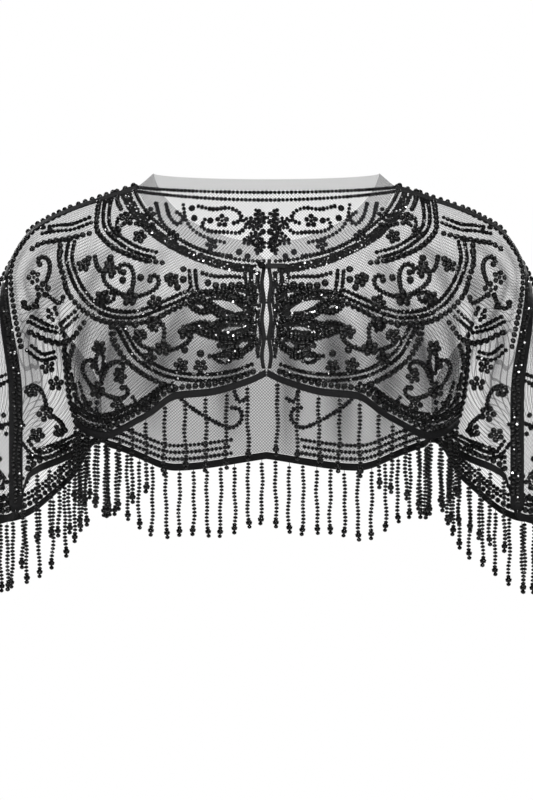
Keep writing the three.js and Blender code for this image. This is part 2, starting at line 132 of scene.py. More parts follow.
def smoothstep(value, low, high):
    share = np.clip((value - low) / (high - low), 0, 1)
    return share * share * (3 - 2 * share)


def smooth_column(rows, place, column):
    """A monotone cubic through one column of a table, with no overshoot between its rows."""
    places = np.array([row[place] for row in rows], float)
    values = np.array([row[column] for row in rows], float)
    steps = np.diff(places)
    rises = np.diff(values) / steps
    slopes = np.zeros(len(rows))
    slopes[0] = rises[0]
    slopes[-1] = rises[-1]
    for i in range(1, len(rows) - 1):
        if rises[i - 1] * rises[i] > 0:
            before = 2 * steps[i] + steps[i - 1]
            after = steps[i] + 2 * steps[i - 1]
            slopes[i] = (before + after) / (before / rises[i - 1] + after / rises[i])

    def value_at(at):
        i = np.clip(np.searchsorted(places, at) - 1, 0, len(steps) - 1)
        t = (at - places[i]) / steps[i]
        start = (2 * t**3 - 3 * t**2 + 1) * values[i]
        end = (3 * t**2 - 2 * t**3) * values[i + 1]
        start_slope = (t**3 - 2 * t**2 + t) * steps[i] * slopes[i]
        end_slope = (t**3 - t**2) * steps[i] * slopes[i + 1]
        return start + end + start_slope + end_slope

    return value_at


RING = {name: smooth_column(RINGS, "drop", name) for name in RINGS[0] if name != "drop"}
LOWER_X = smooth_column(LOWER_SECTION, "turn", "x")
LOWER_Y = smooth_column(LOWER_SECTION, "turn", "y")
HEM_Z = smooth_column(HEM, "turn", "z")


def folded_turn(turn):
    """Round the whole garment a turn runs from 0 to 4, and its left half mirrors the right."""
    return np.where(turn <= 2, turn, 4 - turn)


def slit_half_gap(z):
    phase = np.pi * (z - TOP_FASTENING_Z) / FASTENING_PITCH
    return lerp(SLIT_HALF_GAP_CLOSED, SLIT_HALF_GAP_OPEN, np.sin(phase) ** 2)


def ring_sink(cosine):
    """How far a ring has sunk from its side height to its front or back height."""

    def sink(value):
        return np.hypot(value, SHOULDER_ROUNDING) ** SINK_POWER - SHOULDER_ROUNDING**SINK_POWER

    return sink(cosine) / sink(1)


def cloth_height(turn, drop):
    cosine = np.cos(folded_turn(turn) * np.pi / 2)
    end = np.where(cosine > 0, RING["z_front"](drop), RING["z_back"](drop))
    return lerp(RING["z_side"](drop), end, ring_sink(cosine))


def cloth_point(turn, drop):
    """Points on the middle of the plain cloth, in metres."""
    turn, drop = np.broadcast_arrays(np.asarray(turn, float), np.asarray(drop, float))
    along = folded_turn(turn)
    side = np.where(turn <= 2, 1.0, -1.0)
    angle = along * np.pi / 2
    cosine = np.cos(angle)
    depth = np.where(cosine > 0, RING["front"](drop), RING["back"](drop))
    z = cloth_height(turn, drop)
    fold = smoothstep(drop, FOLD_START, FOLD_FULL)
    slit = slit_half_gap(z) * np.maximum(cosine, 0) ** 2
    x = lerp(RING["half_width"](drop) * np.sin(angle), LOWER_X(along), fold) + slit
    y = lerp(-depth * cosine, LOWER_Y(along), fold)
    return MM * np.stack([side * x, y, z], -1)


TINY = 1e-4


def cloth_slopes(turn, drop):
    turn = np.asarray(turn, float)
    drop = np.asarray(drop, float)
    before = np.clip(turn - TINY, 0, 4)
    after = np.clip(turn + TINY, 0, 4)
    across = (cloth_point(after, drop) - cloth_point(before, drop)) / (after - before)[..., None]
    down = (cloth_point(turn, drop + TINY) - cloth_point(turn, drop - TINY)) / (2 * TINY)
    return across, down


def unit(vectors):
    return vectors / np.linalg.norm(vectors, axis=-1, keepdims=True)


def outward(turn, drop):
    turn, drop = np.broadcast_arrays(np.asarray(turn, float), np.asarray(drop, float))
    across, down = cloth_slopes(turn, drop)
    return unit(np.cross(down, across))


def crease_height(turn, drop):
    """How far the creases lift the cloth, in millimetres."""
    height = np.zeros(np.broadcast(turn, drop).shape)
    for crease in CREASES:
        share = (drop - crease["top"][1]) / (crease["bottom"][1] - crease["top"][1])
        middle = lerp(crease["top"][0], crease["bottom"][0], np.clip(share, 0, 1))
        offset = (turn - middle) * CREASE_TURN_LENGTH / crease["width"]
        window = np.sin(np.pi * np.clip(share, 0, 1)) ** CREASE_FADE
        height = height + crease["depth"] * window * np.exp(-(offset**2))
    return height


def on_cloth(turn, drop, out=0.0):
    """Points of the creased cloth, moved out by some millimetres."""
    turn, drop = np.broadcast_arrays(np.asarray(turn, float), np.asarray(drop, float))
    lift = MM * (out + crease_height(turn, drop))
    return cloth_point(turn, drop) + outward(turn, drop) * lift[..., None]


def step_across(turn, drop, mm):
    across, _ = cloth_slopes(turn, drop)
    return turn + MM * mm / np.linalg.norm(across, axis=-1)


def step_down(turn, drop, mm):
    _, down = cloth_slopes(turn, drop)
    return drop + MM * mm / np.linalg.norm(down, axis=-1)


def drop_at_height(turn, z):
    """Where the cloth reaches a height, by halving."""
    turn = np.asarray(turn, float)
    above = np.zeros(turn.shape)
    below = np.ones(turn.shape)
    for _ in range(40):
        middle = (above + below) / 2
        higher = cloth_height(turn, middle) > z
        above = np.where(higher, middle, above)
        below = np.where(higher, below, middle)
    return below


def hem_drop(turn):
    return drop_at_height(turn, HEM_Z(folded_turn(np.asarray(turn, float))))


def panel_top(turn):
    return step_down(turn, np.zeros(np.shape(turn)), SEAM_GAP / 2)


def panel_hem(turn):
    return step_down(turn, hem_drop(turn), -HEM_BINDING_WIDTH - SEAM_GAP)


def even_turns(start, end, count):
    """Turns evenly spaced along the lower section, so that folds get as many columns as they need."""
    turns = np.linspace(start, end, 2001)
    points = cloth_point(turns, 1.0)
    lengths = np.concatenate([[0], np.cumsum(np.linalg.norm(np.diff(points, axis=0), axis=1))])
    return np.interp(np.linspace(0, lengths[-1], count + 1), lengths, turns)


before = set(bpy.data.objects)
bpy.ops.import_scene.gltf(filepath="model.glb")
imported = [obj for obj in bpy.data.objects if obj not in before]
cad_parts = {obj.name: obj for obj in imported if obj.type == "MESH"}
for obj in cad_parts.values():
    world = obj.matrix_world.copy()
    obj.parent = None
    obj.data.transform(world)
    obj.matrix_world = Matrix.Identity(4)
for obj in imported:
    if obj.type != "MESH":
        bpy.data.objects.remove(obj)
CAD_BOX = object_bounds()
scene = bpy.context.scene


def add_object(name, mesh, *materials):
    thing = bpy.data.objects.new(name, mesh)
    scene.collection.objects.link(thing)
    for material in materials:
        mesh.materials.append(material)
    return thing


def write_uv(mesh, uv):
    layer = mesh.uv_layers.new(name="cloth")
    corners = np.zeros(len(mesh.loops), int)
    mesh.loops.foreach_get("vertex_index", corners)
    layer.data.foreach_set("uv", uv.reshape(-1, 2)[corners].ravel())


def grid_mesh(name, points, uv):
    """A mesh of quads over rows and columns of points, with texture coordinates in metres."""
    rows, columns = points.shape[:2]
    index = np.arange(rows * columns).reshape(rows, columns)
    quads = np.stack([index[:-1, :-1], index[1:, :-1], index[1:, 1:], index[:-1, 1:]], -1)
    mesh = bpy.data.meshes.new(name)
    mesh.from_pydata(points.reshape(-1, 3).tolist(), [], quads.reshape(-1, 4).tolist())
    write_uv(mesh, uv)
    mesh.shade_smooth()
    return mesh


def run_lengths(points, axis):
    steps = np.linalg.norm(np.diff(points, axis=axis), axis=-1)
    lengths = np.cumsum(steps, axis=axis)
    pad = [(0, 0), (0, 0)]
    pad[axis] = (1, 0)
    return np.pad(lengths, pad)


def cloth_uv(points, centre_column):
    """Texture coordinates of cloth: across from a straight centre column, and down from the top."""
    across = run_lengths(points, 1)
    return np.stack([across - across[:, centre_column, None], -run_lengths(points, 0)], -1)


def plain_mesh(thing):
    """Turns an object with its modifiers into a plain mesh."""
    depsgraph = bpy.context.evaluated_depsgraph_get()
    mesh = bpy.data.meshes.new_from_object(thing.evaluated_get(depsgraph))
    mesh.name = thing.name
    thing.modifiers.clear()
    thing.data = mesh
    return thing


def add_camera():
    data = bpy.data.cameras.new("photo_camera")
    data.sensor_fit = "VERTICAL"
    data.sensor_height = SENSOR_HEIGHT
    data.lens = SENSOR_HEIGHT * VIEW_DISTANCE / VIEW_SPAN
    data.clip_end = 200
    camera = bpy.data.objects.new("photo_camera", data)
    camera.location = (0, VIEW_PLANE_Y - VIEW_DISTANCE, VIEW_HEIGHT_Z)
    camera.rotation_euler = (math.radians(90), 0, 0)
    scene.collection.objects.link(camera)
    scene.camera = camera


add_camera()


# Shader node groups

def new_group(name, inputs, outputs, kind_of_tree="ShaderNodeTree"):
    """A node group and its two end nodes. Its inputs are names, kinds and defaults."""
    group = bpy.data.node_groups.new(name, kind_of_tree)
    for label, kind, default in inputs:
        socket = group.interface.new_socket(label, in_out="INPUT", socket_type="NodeSocket" + kind)
        if default is not None:
            socket.default_value = default
    for label, kind in outputs:
        group.interface.new_socket(label, in_out="OUTPUT", socket_type="NodeSocket" + kind)
    return group, group.nodes.new("NodeGroupInput"), group.nodes.new("NodeGroupOutput")


def set_values(node, **values):
    for label, value in values.items():
        node.inputs[label.replace("_", " ")].default_value = value


def add_node(tree, kind, inputs=None, **settings):
    """A node with its settings. Its inputs, by name or number, are linked to sockets or set to values."""
    node = tree.nodes.new(kind)
    for name, value in settings.items():
        setattr(node, name, value)
    for label, value in (inputs or {}).items():
        if isinstance(value, bpy.types.NodeSocket):
            tree.links.new(value, node.inputs[label])
        else:
            node.inputs[label].default_value = value
    return node


def math_node(tree, operation, first, second=None, third=None):
    """A Math node whose inputs are sockets or numbers. Returns its output."""
    given = {place: value for place, value in enumerate((first, second, third)) if value is not None}
    return add_node(tree, "ShaderNodeMath", given, operation=operation).outputs[0]


NET_WOBBLE = 0.00005
NET_FULLNESS_AND_SHADE_WIDENING = 0.0002


def net_threads_group():
    """Diamond net: how much thread there is at a point, from 0 in a hole to 1 on a thread. The threads widen
    with the net's fullness and with the painted shade of folds and creases.
    """
    group, start, end = new_group(
        "net threads",
        [
            ("Cloth", "Vector", None),
            ("Pitch", "Float", 0.002),
            ("Thread", "Float", 0.0002),
            ("Fullness and painted shade", "Float", 0.0),
        ],
        [("Thread mask", "Float"), ("Height", "Float")],
    )
    clouds = {"Vector": start.outputs["Cloth"], "Scale": 70, "Detail": 1}
    noise = add_node(group, "ShaderNodeTexNoise", clouds)
    parts = add_node(group, "ShaderNodeSeparateXYZ", {0: start.outputs["Cloth"]})
    centred = math_node(group, "SUBTRACT", noise.outputs[0], 0.5)
    wobble = math_node(group, "MULTIPLY", centred, NET_WOBBLE)
    u = math_node(group, "ADD", parts.outputs[0], wobble)
    v = math_node(group, "ADD", parts.outputs[1], wobble)
    fullness_and_painted_shade, thread = start.outputs["Fullness and painted shade"], start.outputs["Thread"]
    # Painted shade: threads widen where folds and creases should look shaded, and where the net is fuller
    width = math_node(group, "MULTIPLY_ADD", fullness_and_painted_shade, NET_FULLNESS_AND_SHADE_WIDENING, thread)
    masks = []
    for operation in ("ADD", "SUBTRACT"):
        diagonal = math_node(group, "MULTIPLY", math_node(group, operation, u, v), math.sqrt(0.5))
        share = math_node(group, "FRACT", math_node(group, "DIVIDE", diagonal, start.outputs["Pitch"]))
        off_middle = math_node(group, "ABSOLUTE", math_node(group, "SUBTRACT", share, 0.5))
        distance = math_node(group, "MULTIPLY", off_middle, start.outputs["Pitch"])
        masks.append(math_node(group, "LESS_THAN", distance, math_node(group, "MULTIPLY", width, 0.5)))
    both = math_node(group, "MAXIMUM", *masks)
    group.links.new(both, end.inputs["Thread mask"])
    group.links.new(math_node(group, "ADD", *masks), end.inputs["Height"])
    return group


def colour_variation_group():
    """Slow uneven shade of dyed cloth and thread."""
    group, start, end = new_group(
        "uneven dye",
        [
            ("Place", "Vector", None),
            ("Scale", "Float", 40.0),
            ("Dark", "Color", (0.0, 0.0, 0.0, 1)),
            ("Light", "Color", (0.1, 0.1, 0.1, 1)),
        ],
        [("Color", "Color"), ("Amount", "Float")],
    )
    given = start.outputs
    clouds = {"Vector": given["Place"], "Scale": given["Scale"], "Detail": 4}
    noise = add_node(group, "ShaderNodeTexNoise", clouds)
    mix = group.nodes.new("ShaderNodeMix")
    mix.data_type = "RGBA"
    group.links.new(noise.outputs[0], mix.inputs["Factor"])
    group.links.new(given["Dark"], mix.inputs["A"])
    group.links.new(given["Light"], mix.inputs["B"])
    group.links.new(mix.outputs["Result"], end.inputs["Color"])
    group.links.new(noise.outputs[0], end.inputs["Amount"])
    return group


NET_THREADS = net_threads_group()
UNEVEN_DYE = colour_variation_group()


def new_material(name):
    material = bpy.data.materials.new(name)
    material.use_nodes = True
    shader = material.node_tree.nodes["Principled BSDF"]
    return material, material.node_tree, shader


def add_bump(tree, shader, height, strength, distance):
    bump = add_node(tree, "ShaderNodeBump", {"Strength": strength, "Distance": distance, "Height": height})
    tree.links.new(bump.outputs[0], shader.inputs["Normal"])


def place_group(tree, group, **values):
    node = tree.nodes.new("ShaderNodeGroup")
    node.node_tree = group
    set_values(node, **values)
    return node


def add_dye(tree, shader, place, scale, dark, light):
    """Gives a shader the uneven dye's colour. Returns the dye, for other uses of its amount."""
    dye = place_group(tree, UNEVEN_DYE, Scale=scale, Dark=(*dark, 1), Light=(*light, 1))
    tree.links.new(place, dye.inputs["Place"])
    tree.links.new(dye.outputs["Color"], shader.inputs["Base Color"])
    return dye


NET_THREAD_COVER = 0.3
NET_FILM_COVER = 0.045
NET_FULLNESS_AND_SHADE_COVER = 0.64


def net_material():
    material, tree, shader = new_material("black net")
    uv = tree.nodes.new("ShaderNodeUVMap")
    uv.uv_map = "cloth"
    fullness_and_painted_shade = tree.nodes.new("ShaderNodeAttribute")
    fullness_and_painted_shade.attribute_name = "fullness_and_painted_shade"
    threads = place_group(tree, NET_THREADS, Pitch=0.0021, Thread=0.0004)
    tree.links.new(uv.outputs[0], threads.inputs["Cloth"])
    tree.links.new(fullness_and_painted_shade.outputs["Fac"], threads.inputs["Fullness and painted shade"])
    add_dye(tree, shader, uv.outputs[0], 60.0, (0.018, 0.018, 0.02), (0.05, 0.05, 0.055))
    add_bump(tree, shader, threads.outputs["Height"], 0.4, 0.0002)
    # Painted shade: extra alpha cover darkens the net in folds and creases, besides its real fullness
    cover_and_painted_shade = math_node(tree, "MULTIPLY_ADD", fullness_and_painted_shade.outputs["Fac"], NET_FULLNESS_AND_SHADE_COVER, NET_FILM_COVER)
    cover = math_node(tree, "MULTIPLY_ADD", threads.outputs["Thread mask"], NET_THREAD_COVER, cover_and_painted_shade)
    tree.links.new(cover, shader.inputs["Alpha"])
    set_values(shader, Roughness=0.8, Specular_IOR_Level=0.3)
    return material


SATIN_DARK = (0.003, 0.003, 0.0034)
SATIN_LIGHT = (0.011, 0.011, 0.012)


def satin_material():
    material, tree, shader = new_material("black satin")
    uv = tree.nodes.new("ShaderNodeUVMap")
    uv.uv_map = "cloth"
    weave = tree.nodes.new("ShaderNodeTexWave")
    weave.bands_direction = "DIAGONAL"
    set_values(weave, Scale=420, Distortion=0.6)
    pucker = tree.nodes.new("ShaderNodeTexNoise")
    set_values(pucker, Scale=170, Detail=2)
    for node in (weave, pucker):
        tree.links.new(uv.outputs[0], node.inputs["Vector"])
    add_dye(tree, shader, uv.outputs[0], 90.0, SATIN_DARK, SATIN_LIGHT)
    height = math_node(tree, "MULTIPLY_ADD", weave.outputs["Fac"], 0.25, pucker.outputs[0])
    add_bump(tree, shader, height, 0.9, 0.0008)
    set_values(shader, Roughness=0.5, Specular_IOR_Level=0.22)
    return material


def polished_material(name, scale, dark, light, roughness, spread, **values):
    """A polished black whose colour and roughness vary a little from place to place."""
    material, tree, shader = new_material(name)
    place = tree.nodes.new("ShaderNodeTexCoord")
    dye = add_dye(tree, shader, place.outputs["Object"], scale, dark, (light, light, light))
    rough = math_node(tree, "MULTIPLY_ADD", dye.outputs["Amount"], spread, roughness)
    tree.links.new(rough, shader.inputs["Roughness"])
    set_values(shader, **values)
    return material


BEAD_SCALE = 260.0
BEAD_DARK = (0.001, 0.001, 0.0012)

NET = net_material()
SATIN = satin_material()
BEAD = polished_material(
    "black glass beads", BEAD_SCALE, BEAD_DARK, light=0.005, roughness=0.05, spread=0.12,
    Specular_IOR_Level=0.4)
SEQUIN = polished_material(
    "black sequins", BEAD_SCALE, BEAD_DARK, light=0.01, roughness=0.02, spread=0.1, Specular_IOR_Level=1.0)
WIRE = polished_material(
    "black lacquered wire", 500.0, (0.01, 0.01, 0.011), light=0.05, roughness=0.2, spread=0.3, Metallic=0.7)

# Cloth pieces

PANELS = [
    dict(side="right", node="front_right", stops=(0, 0.7, 1), columns=(66, 34)),
    dict(side="back", node="back", stops=(1, 1.55, 2.45, 3), columns=(54, 72, 54), density=0.36),
    dict(side="left", node="front_left", stops=(3, 3.3, 4), columns=(34, 66)),
]
PANEL_ROWS = 60


def panel_turns(stops, columns):
    """Turns of a panel's columns, evenly spaced between its stops."""
    parts = [even_turns(stops[i], stops[i + 1], count)[1 if i else 0:] for i, count in enumerate(columns)]
    return np.concatenate(parts)


def edge_inset(turn):
    return SEAM_GAP / 2 if turn % 2 == 1 else EDGE_BINDING_WIDTH + SEAM_GAP


def panel_places(turns, insets):
    """Turns and drops of a panel's even rows, with both side edges set in."""
    shares = np.linspace(0, 1, PANEL_ROWS + 1)[:, None]
    levels = lerp(panel_top(turns), panel_hem(turns), shares)
    first = step_across(np.full(PANEL_ROWS + 1, turns[0]), levels[:, 0], insets[0])[:, None]
    last = step_across(np.full(PANEL_ROWS + 1, turns[-1]), levels[:, -1], -insets[1])[:, None]
    spread = (turns - turns[0]) / (turns[-1] - turns[0])
    placed = turns + (first - turns[0]) * (1 - spread) + (last - turns[-1]) * spread
    return placed, lerp(panel_top(placed), panel_hem(placed), shares)


# Where shade is painted into the net: the underarm folds, and the creases by their depth
PAINTED_SHADE_FOLDS = (0.68, 1.56)
PAINTED_SHADE_WIDTH = 0.06
FOLD_PAINTED_SHADE = 0.15
CREASE_PAINTED_SHADE = 0.18


def painted_fold_shade_at(turn, drop):
    """Painted shade of the net, from 0 to 1: a darker cover in the underarm folds and along the deeper
    creases, where shade falls.
    """
    along = folded_turn(turn)
    folded = smoothstep(drop, FOLD_START, FOLD_FULL)
    near_fold = sum(np.exp(-(((along - middle) / PAINTED_SHADE_WIDTH) ** 2)) for middle in PAINTED_SHADE_FOLDS)
    in_creases = CREASE_PAINTED_SHADE * np.abs(crease_height(turn, drop))
    return np.clip(FOLD_PAINTED_SHADE * near_fold * folded + in_creases, 0, 1)


FULL_DROPS = (0.45, 0.7)
FULL_TURNS = (1.5, 1.6)


def full_below_folds(turn, drop):
    """From 0 to 1 where the back hangs free between the underarm folds, and its net lies fuller."""
    return smoothstep(drop, *FULL_DROPS) * smoothstep(folded_turn(turn), *FULL_TURNS)


def net_shell(name, turns, drops, fullness):
    """A thin closed shell of net over a lattice of places. Fullness thickens the look of its net, and the
    painted shade of folds and creases is added to it.
    """
    points = on_cloth(turns, drops)
    from_centre = np.minimum(np.abs(turns[-1] % 2), np.abs(2 - turns[-1] % 2))
    mesh = grid_mesh(name, points, cloth_uv(points, int(np.argmin(from_centre))))
    # Fullness plus painted shade of folds and creases, carried to the net material
    fullness_and_painted_shade = mesh.attributes.new("fullness_and_painted_shade", "FLOAT", "POINT")
    cover_and_painted_shade = fullness + painted_fold_shade_at(turns, drops)
    fullness_and_painted_shade.data.foreach_set("value", cover_and_painted_shade.ravel())
    thing = add_object(name, mesh, NET)
    wall = thing.modifiers.new("wall", "SOLIDIFY")
    wall.thickness = MM * NET_THICKNESS
    wall.offset = 0
    return plain_mesh(thing)


def dress(thing, node):
    """The piece rides with the garment and stands for a solid of it."""
    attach(thing, "root")
    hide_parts(node)
    return thing


def add_panels():
    for panel in PANELS:
        stops = panel["stops"]
        turns = panel_turns(stops, panel["columns"])
        insets = edge_inset(stops[0]), edge_inset(stops[-1])
        placed, drops = panel_places(turns, insets)
        fullness = panel.get("density", 0.0) * full_below_folds(placed, drops)
        shell = net_shell("net_" + panel["node"], placed, drops, fullness)
        dress(shell, panel["node"])
        on_cloth(placed, drops)


FACING_TOP = -0.06
FACING_V = 13
FACING_FULLNESS = 0.12
FACING_ROWS = 6
FACING_COLUMNS = 176


def add_neck_facing():
    """The facing stands above the neckline, and its front ends slope away from the centre in a V."""
    turns = np.linspace(0, 4, FACING_COLUMNS + 1)
    shares = np.linspace(0, 1, FACING_ROWS + 1)[:, None]
    bottom = step_down(turns, np.zeros(turns.shape), -SEAM_GAP / 2)
    drops = lerp(np.full(turns.shape, FACING_TOP), bottom, shares)
    slopes = lerp(FACING_V, SEAM_GAP, shares)
    start = step_across(np.zeros(shares.shape), drops[:, :1], slopes)
    end = step_across(np.full(shares.shape, 4.0), drops[:, -1:], -slopes)
    placed = lerp(start, end, turns[None, :] / 4)
    shell = net_shell("net_neck_facing", placed, drops, FACING_FULLNESS)
    dress(shell, "neck_facing")
    on_cloth(placed, drops)


BAND_CROWN = 0.56
BAND_RIPPLE = 0.12


def band_section(width, wall, out):
    """A rounded flat section: pairs of a place across the band and a distance out, round it once."""
    half = wall / 2
    inner, outer = half, width - half
    slant = 0.7 * half
    return [
        (inner, out - half),
        (outer, out - half),
        (outer + slant, out - slant),
        (outer + half, out),
        (outer + slant, out + slant),
        (outer, out + half),
        (lerp(inner, outer, 0.5), out + wall * BAND_CROWN),
        (inner, out + half),
        (inner - slant, out + slant),
        (inner - half, out),
        (inner - slant, out - slant),
    ]


def band_mesh(name, stations, section, place):
    """A closed band: `place` gives the turn and drop of a station at some millimetres across the band."""
    loops = []
    for index, (across, out) in enumerate(section):
        turns, drops = place(stations, across)
        ripple = BAND_RIPPLE * np.sin(np.arange(len(stations)) * 1.9 + 0.8 * index)
        loops.append(on_cloth(turns, drops, out + ripple))
    points = np.stack(loops, 0)
    closed = np.concatenate([points, points[:1]], 0)
    rows, columns = points.shape[:2]
    index = np.arange(rows * columns).reshape(rows, columns)
    following = np.roll(index, -1, axis=0)
    quads = np.stack([index[:, :-1], index[:, 1:], following[:, 1:], following[:, :-1]], -1)
    caps = [index[:, 0].tolist(), index[::-1, -1].tolist()]
    mesh = bpy.data.meshes.new(name)
    mesh.from_pydata(points.reshape(-1, 3).tolist(), [], quads.reshape(-1, 4).tolist() + caps)
    run = run_lengths(closed, 1)
    round_it = run_lengths(closed, 0)
    write_uv(mesh, np.stack([run[:-1], round_it[:-1]], -1))
    mesh.shade_smooth()
    face_outwards(mesh)
    return mesh, float(run[0, -1])


def face_outwards(mesh):
    shell = bmesh.new()
    shell.from_mesh(mesh)
    bmesh.ops.recalc_face_normals(shell, faces=shell.faces)
    shell.to_mesh(mesh)
    shell.free()


def add_band(name, node, stations, section, place):
    mesh, length = band_mesh(name, stations, section, place)
    band = add_object(name, mesh, SATIN)
    dress(band, node)
    return band


def add_hem_bindings():
    section = band_section(HEM_BINDING_WIDTH, BINDING_WALL, 0)

    def place(stations, across):
        return stations, step_down(stations, hem_drop(stations), -HEM_BINDING_WIDTH + across)

    for panel in PANELS:
        stops = panel["stops"]
        turns = panel_turns(stops, [2 * count for count in panel["columns"]])
        levels = hem_drop(turns[[0, -1]])
        turns[0] = step_across(turns[0], levels[0], SEAM_GAP / 2 if stops[0] % 2 == 1 else 0)
        turns[-1] = step_across(turns[-1], levels[1], -SEAM_GAP / 2 if stops[-1] % 2 == 1 else 0)
        add_band("hem_binding_" + panel["side"], "hem_fringe_" + panel["side"], turns, section, place)


def add_front_edges():
    section = band_section(EDGE_BINDING_WIDTH, BINDING_WALL, 0)
    for side, turn, way in (("right", 0.0, 1), ("left", 4.0, -1)):
        drops = np.linspace(float(panel_top(np.array(turn))), float(panel_hem(np.array(turn))), 50)

        def place(stations, across):
            return step_across(np.full(stations.shape, turn), stations, way * across), stations

        add_band("front_edge_binding_" + side, "front_edge_" + side, drops, section, place)


TAPE_SPREAD = 13.5
TAPE_LOW_SPREAD = 12
TAPE_BEHIND = 1.5
TAPE_LOW_BEHIND = 4.5
TAPE_ROLL = 1.2
TAPE_TURNS_AT = 0.37
TAPE_TURNED_AT = 0.56
TAPE_OUT = 0.5 + SEAM_GAP


def add_overarm_tapes():
    section = band_section(TAPE_SPREAD, TAPE_ROLL, TAPE_OUT + TAPE_ROLL / 2)
    for side, turn, forward in (("right", 1.0, -1), ("left", 3.0, 1)):
        drops = np.linspace(float(panel_top(np.array(turn))), float(panel_hem(np.array(turn))), 150)

        def place(stations, across, turn=turn, forward=forward):
            lower = smoothstep(stations, TAPE_TURNS_AT, TAPE_TURNED_AT)
            spread = lerp(TAPE_SPREAD, TAPE_LOW_SPREAD, lower)
            moved = across * spread / TAPE_SPREAD - lerp(TAPE_BEHIND, TAPE_LOW_BEHIND, lower)
            return step_across(np.full(stations.shape, turn), stations, forward * moved), stations

        add_band("overarm_seam_tape_" + side, "overarm_tape_" + side, drops, section, place)


add_panels()
add_neck_facing()
add_hem_bindings()
add_front_edges()
add_overarm_tapes()

# Beads, made by Geometry Nodes


BEAD_INPUTS = [
    ("Geometry", "Geometry", None),
    ("Spacing", "Float", 0.003),
    ("Length", "Float", 0.003),
    ("Width", "Float", 0.003),
    ("Height", "Float", 0.003),
    ("Tilt", "Float", 0.1),
    ("Size variation", "Float", 0.06),
    ("Seed", "Int", 1),
    ("Material", "Material", None),
]


def ball_nodes(tree):
    sizes = {"Segments": 7, "Rings": 4, "Radius": 0.5}
    return add_node(tree, "GeometryNodeMeshUVSphere", sizes).outputs["Mesh"]


def sequin_nodes(tree):
    """A faceted cup: a low cone cut off at its top, open side down."""
    sizes = {"Vertices": 8, "Radius Top": 0.2, "Radius Bottom": 0.5, "Depth": 0.5}
    return add_node(tree, "GeometryNodeMeshCone", sizes).outputs["Mesh"]


def attribute(tree, name, kind="FLOAT_VECTOR"):
    node = add_node(tree, "GeometryNodeInputNamedAttribute", {"Name": name}, data_type=kind)
    return node.outputs["Attribute"]


def scaled(tree, vector, factor):
    return add_node(tree, "ShaderNodeVectorMath", {0: vector, "Scale": factor}, operation="SCALE").outputs[0]


def bead_tree(name, along_rows, shape_nodes, smooth):
    """Beads along the rows of an edge mesh, or one on each of its points, standing on the cloth."""
    tree, start, end = new_group(name, BEAD_INPUTS, [("Geometry", "Geometry")], "GeometryNodeTree")
    given = start.outputs
    if along_rows:
        curve = add_node(tree, "GeometryNodeMeshToCurve", {"Mesh": given["Geometry"]})
        even = {"Curve": curve.outputs["Curve"], "Length": given["Spacing"]}
        points = add_node(tree, "GeometryNodeResampleCurve", even, mode="LENGTH").outputs["Curve"]
        tangent = add_node(tree, "GeometryNodeInputTangent").outputs["Tangent"]
    else:
        points = add_node(tree, "GeometryNodeMeshToPoints", {"Mesh": given["Geometry"]}).outputs["Points"]
        tangent = attribute(tree, "along")
    align = "FunctionNodeAlignRotationToVector"
    upright = add_node(tree, align, {"Vector": attribute(tree, "out")}, axis="Z")
    along = {"Rotation": upright.outputs["Rotation"], "Vector": tangent}
    turned = add_node(tree, align, along, axis="X", pivot_axis="Z")
    lean = {
        "Min": scaled(tree, (-1, -1, 0), given["Tilt"]),
        "Max": scaled(tree, (1, 1, 0), given["Tilt"]),
        "Seed": given["Seed"],
    }
    tilt = add_node(tree, "FunctionNodeRandomValue", lean, data_type="FLOAT_VECTOR")
    leaning = {"Rotation": turned.outputs["Rotation"], "Rotate By": tilt.outputs["Value"]}
    rotate = add_node(tree, "FunctionNodeRotateRotation", leaning, rotation_space="LOCAL")
    sizes = {"X": given["Length"], "Y": given["Width"], "Z": given["Height"]}
    size = add_node(tree, "ShaderNodeCombineXYZ", sizes)
    limits = {
        2: math_node(tree, "SUBTRACT", 1.0, given["Size variation"]),
        3: math_node(tree, "ADD", 1.0, given["Size variation"]),
        "Seed": given["Seed"],
    }
    spread = add_node(tree, "FunctionNodeRandomValue", limits, data_type="FLOAT")
    factor = math_node(tree, "MULTIPLY", spread.outputs[1], attribute(tree, "size", "FLOAT"))
    placing = {
        "Points": points,
        "Instance": shape_nodes(tree),
        "Rotation": rotate.outputs["Rotation"],
        "Scale": scaled(tree, size.outputs[0], factor),
    }
    beads = add_node(tree, "GeometryNodeInstanceOnPoints", placing).outputs["Instances"]
    for kind, inputs in (
        ("GeometryNodeRealizeInstances", {}),
        ("GeometryNodeSetShadeSmooth", {"Shade Smooth": smooth}),
        ("GeometryNodeSetMaterial", {"Material": given["Material"]}),
    ):
        beads = add_node(tree, kind, {"Geometry": beads, **inputs}).outputs["Geometry"]
    tree.links.new(beads, end.inputs["Geometry"])
    return tree


BEAD_ROWS = bead_tree("bead rows", True, ball_nodes, True)
CUT_BEAD_ROWS = bead_tree("cut bead rows", True, ball_nodes, False)
BEAD_POINTS = bead_tree("single beads", False, ball_nodes, True)
SEQUIN_ROWS = bead_tree("sequin rows", True, sequin_nodes, False)


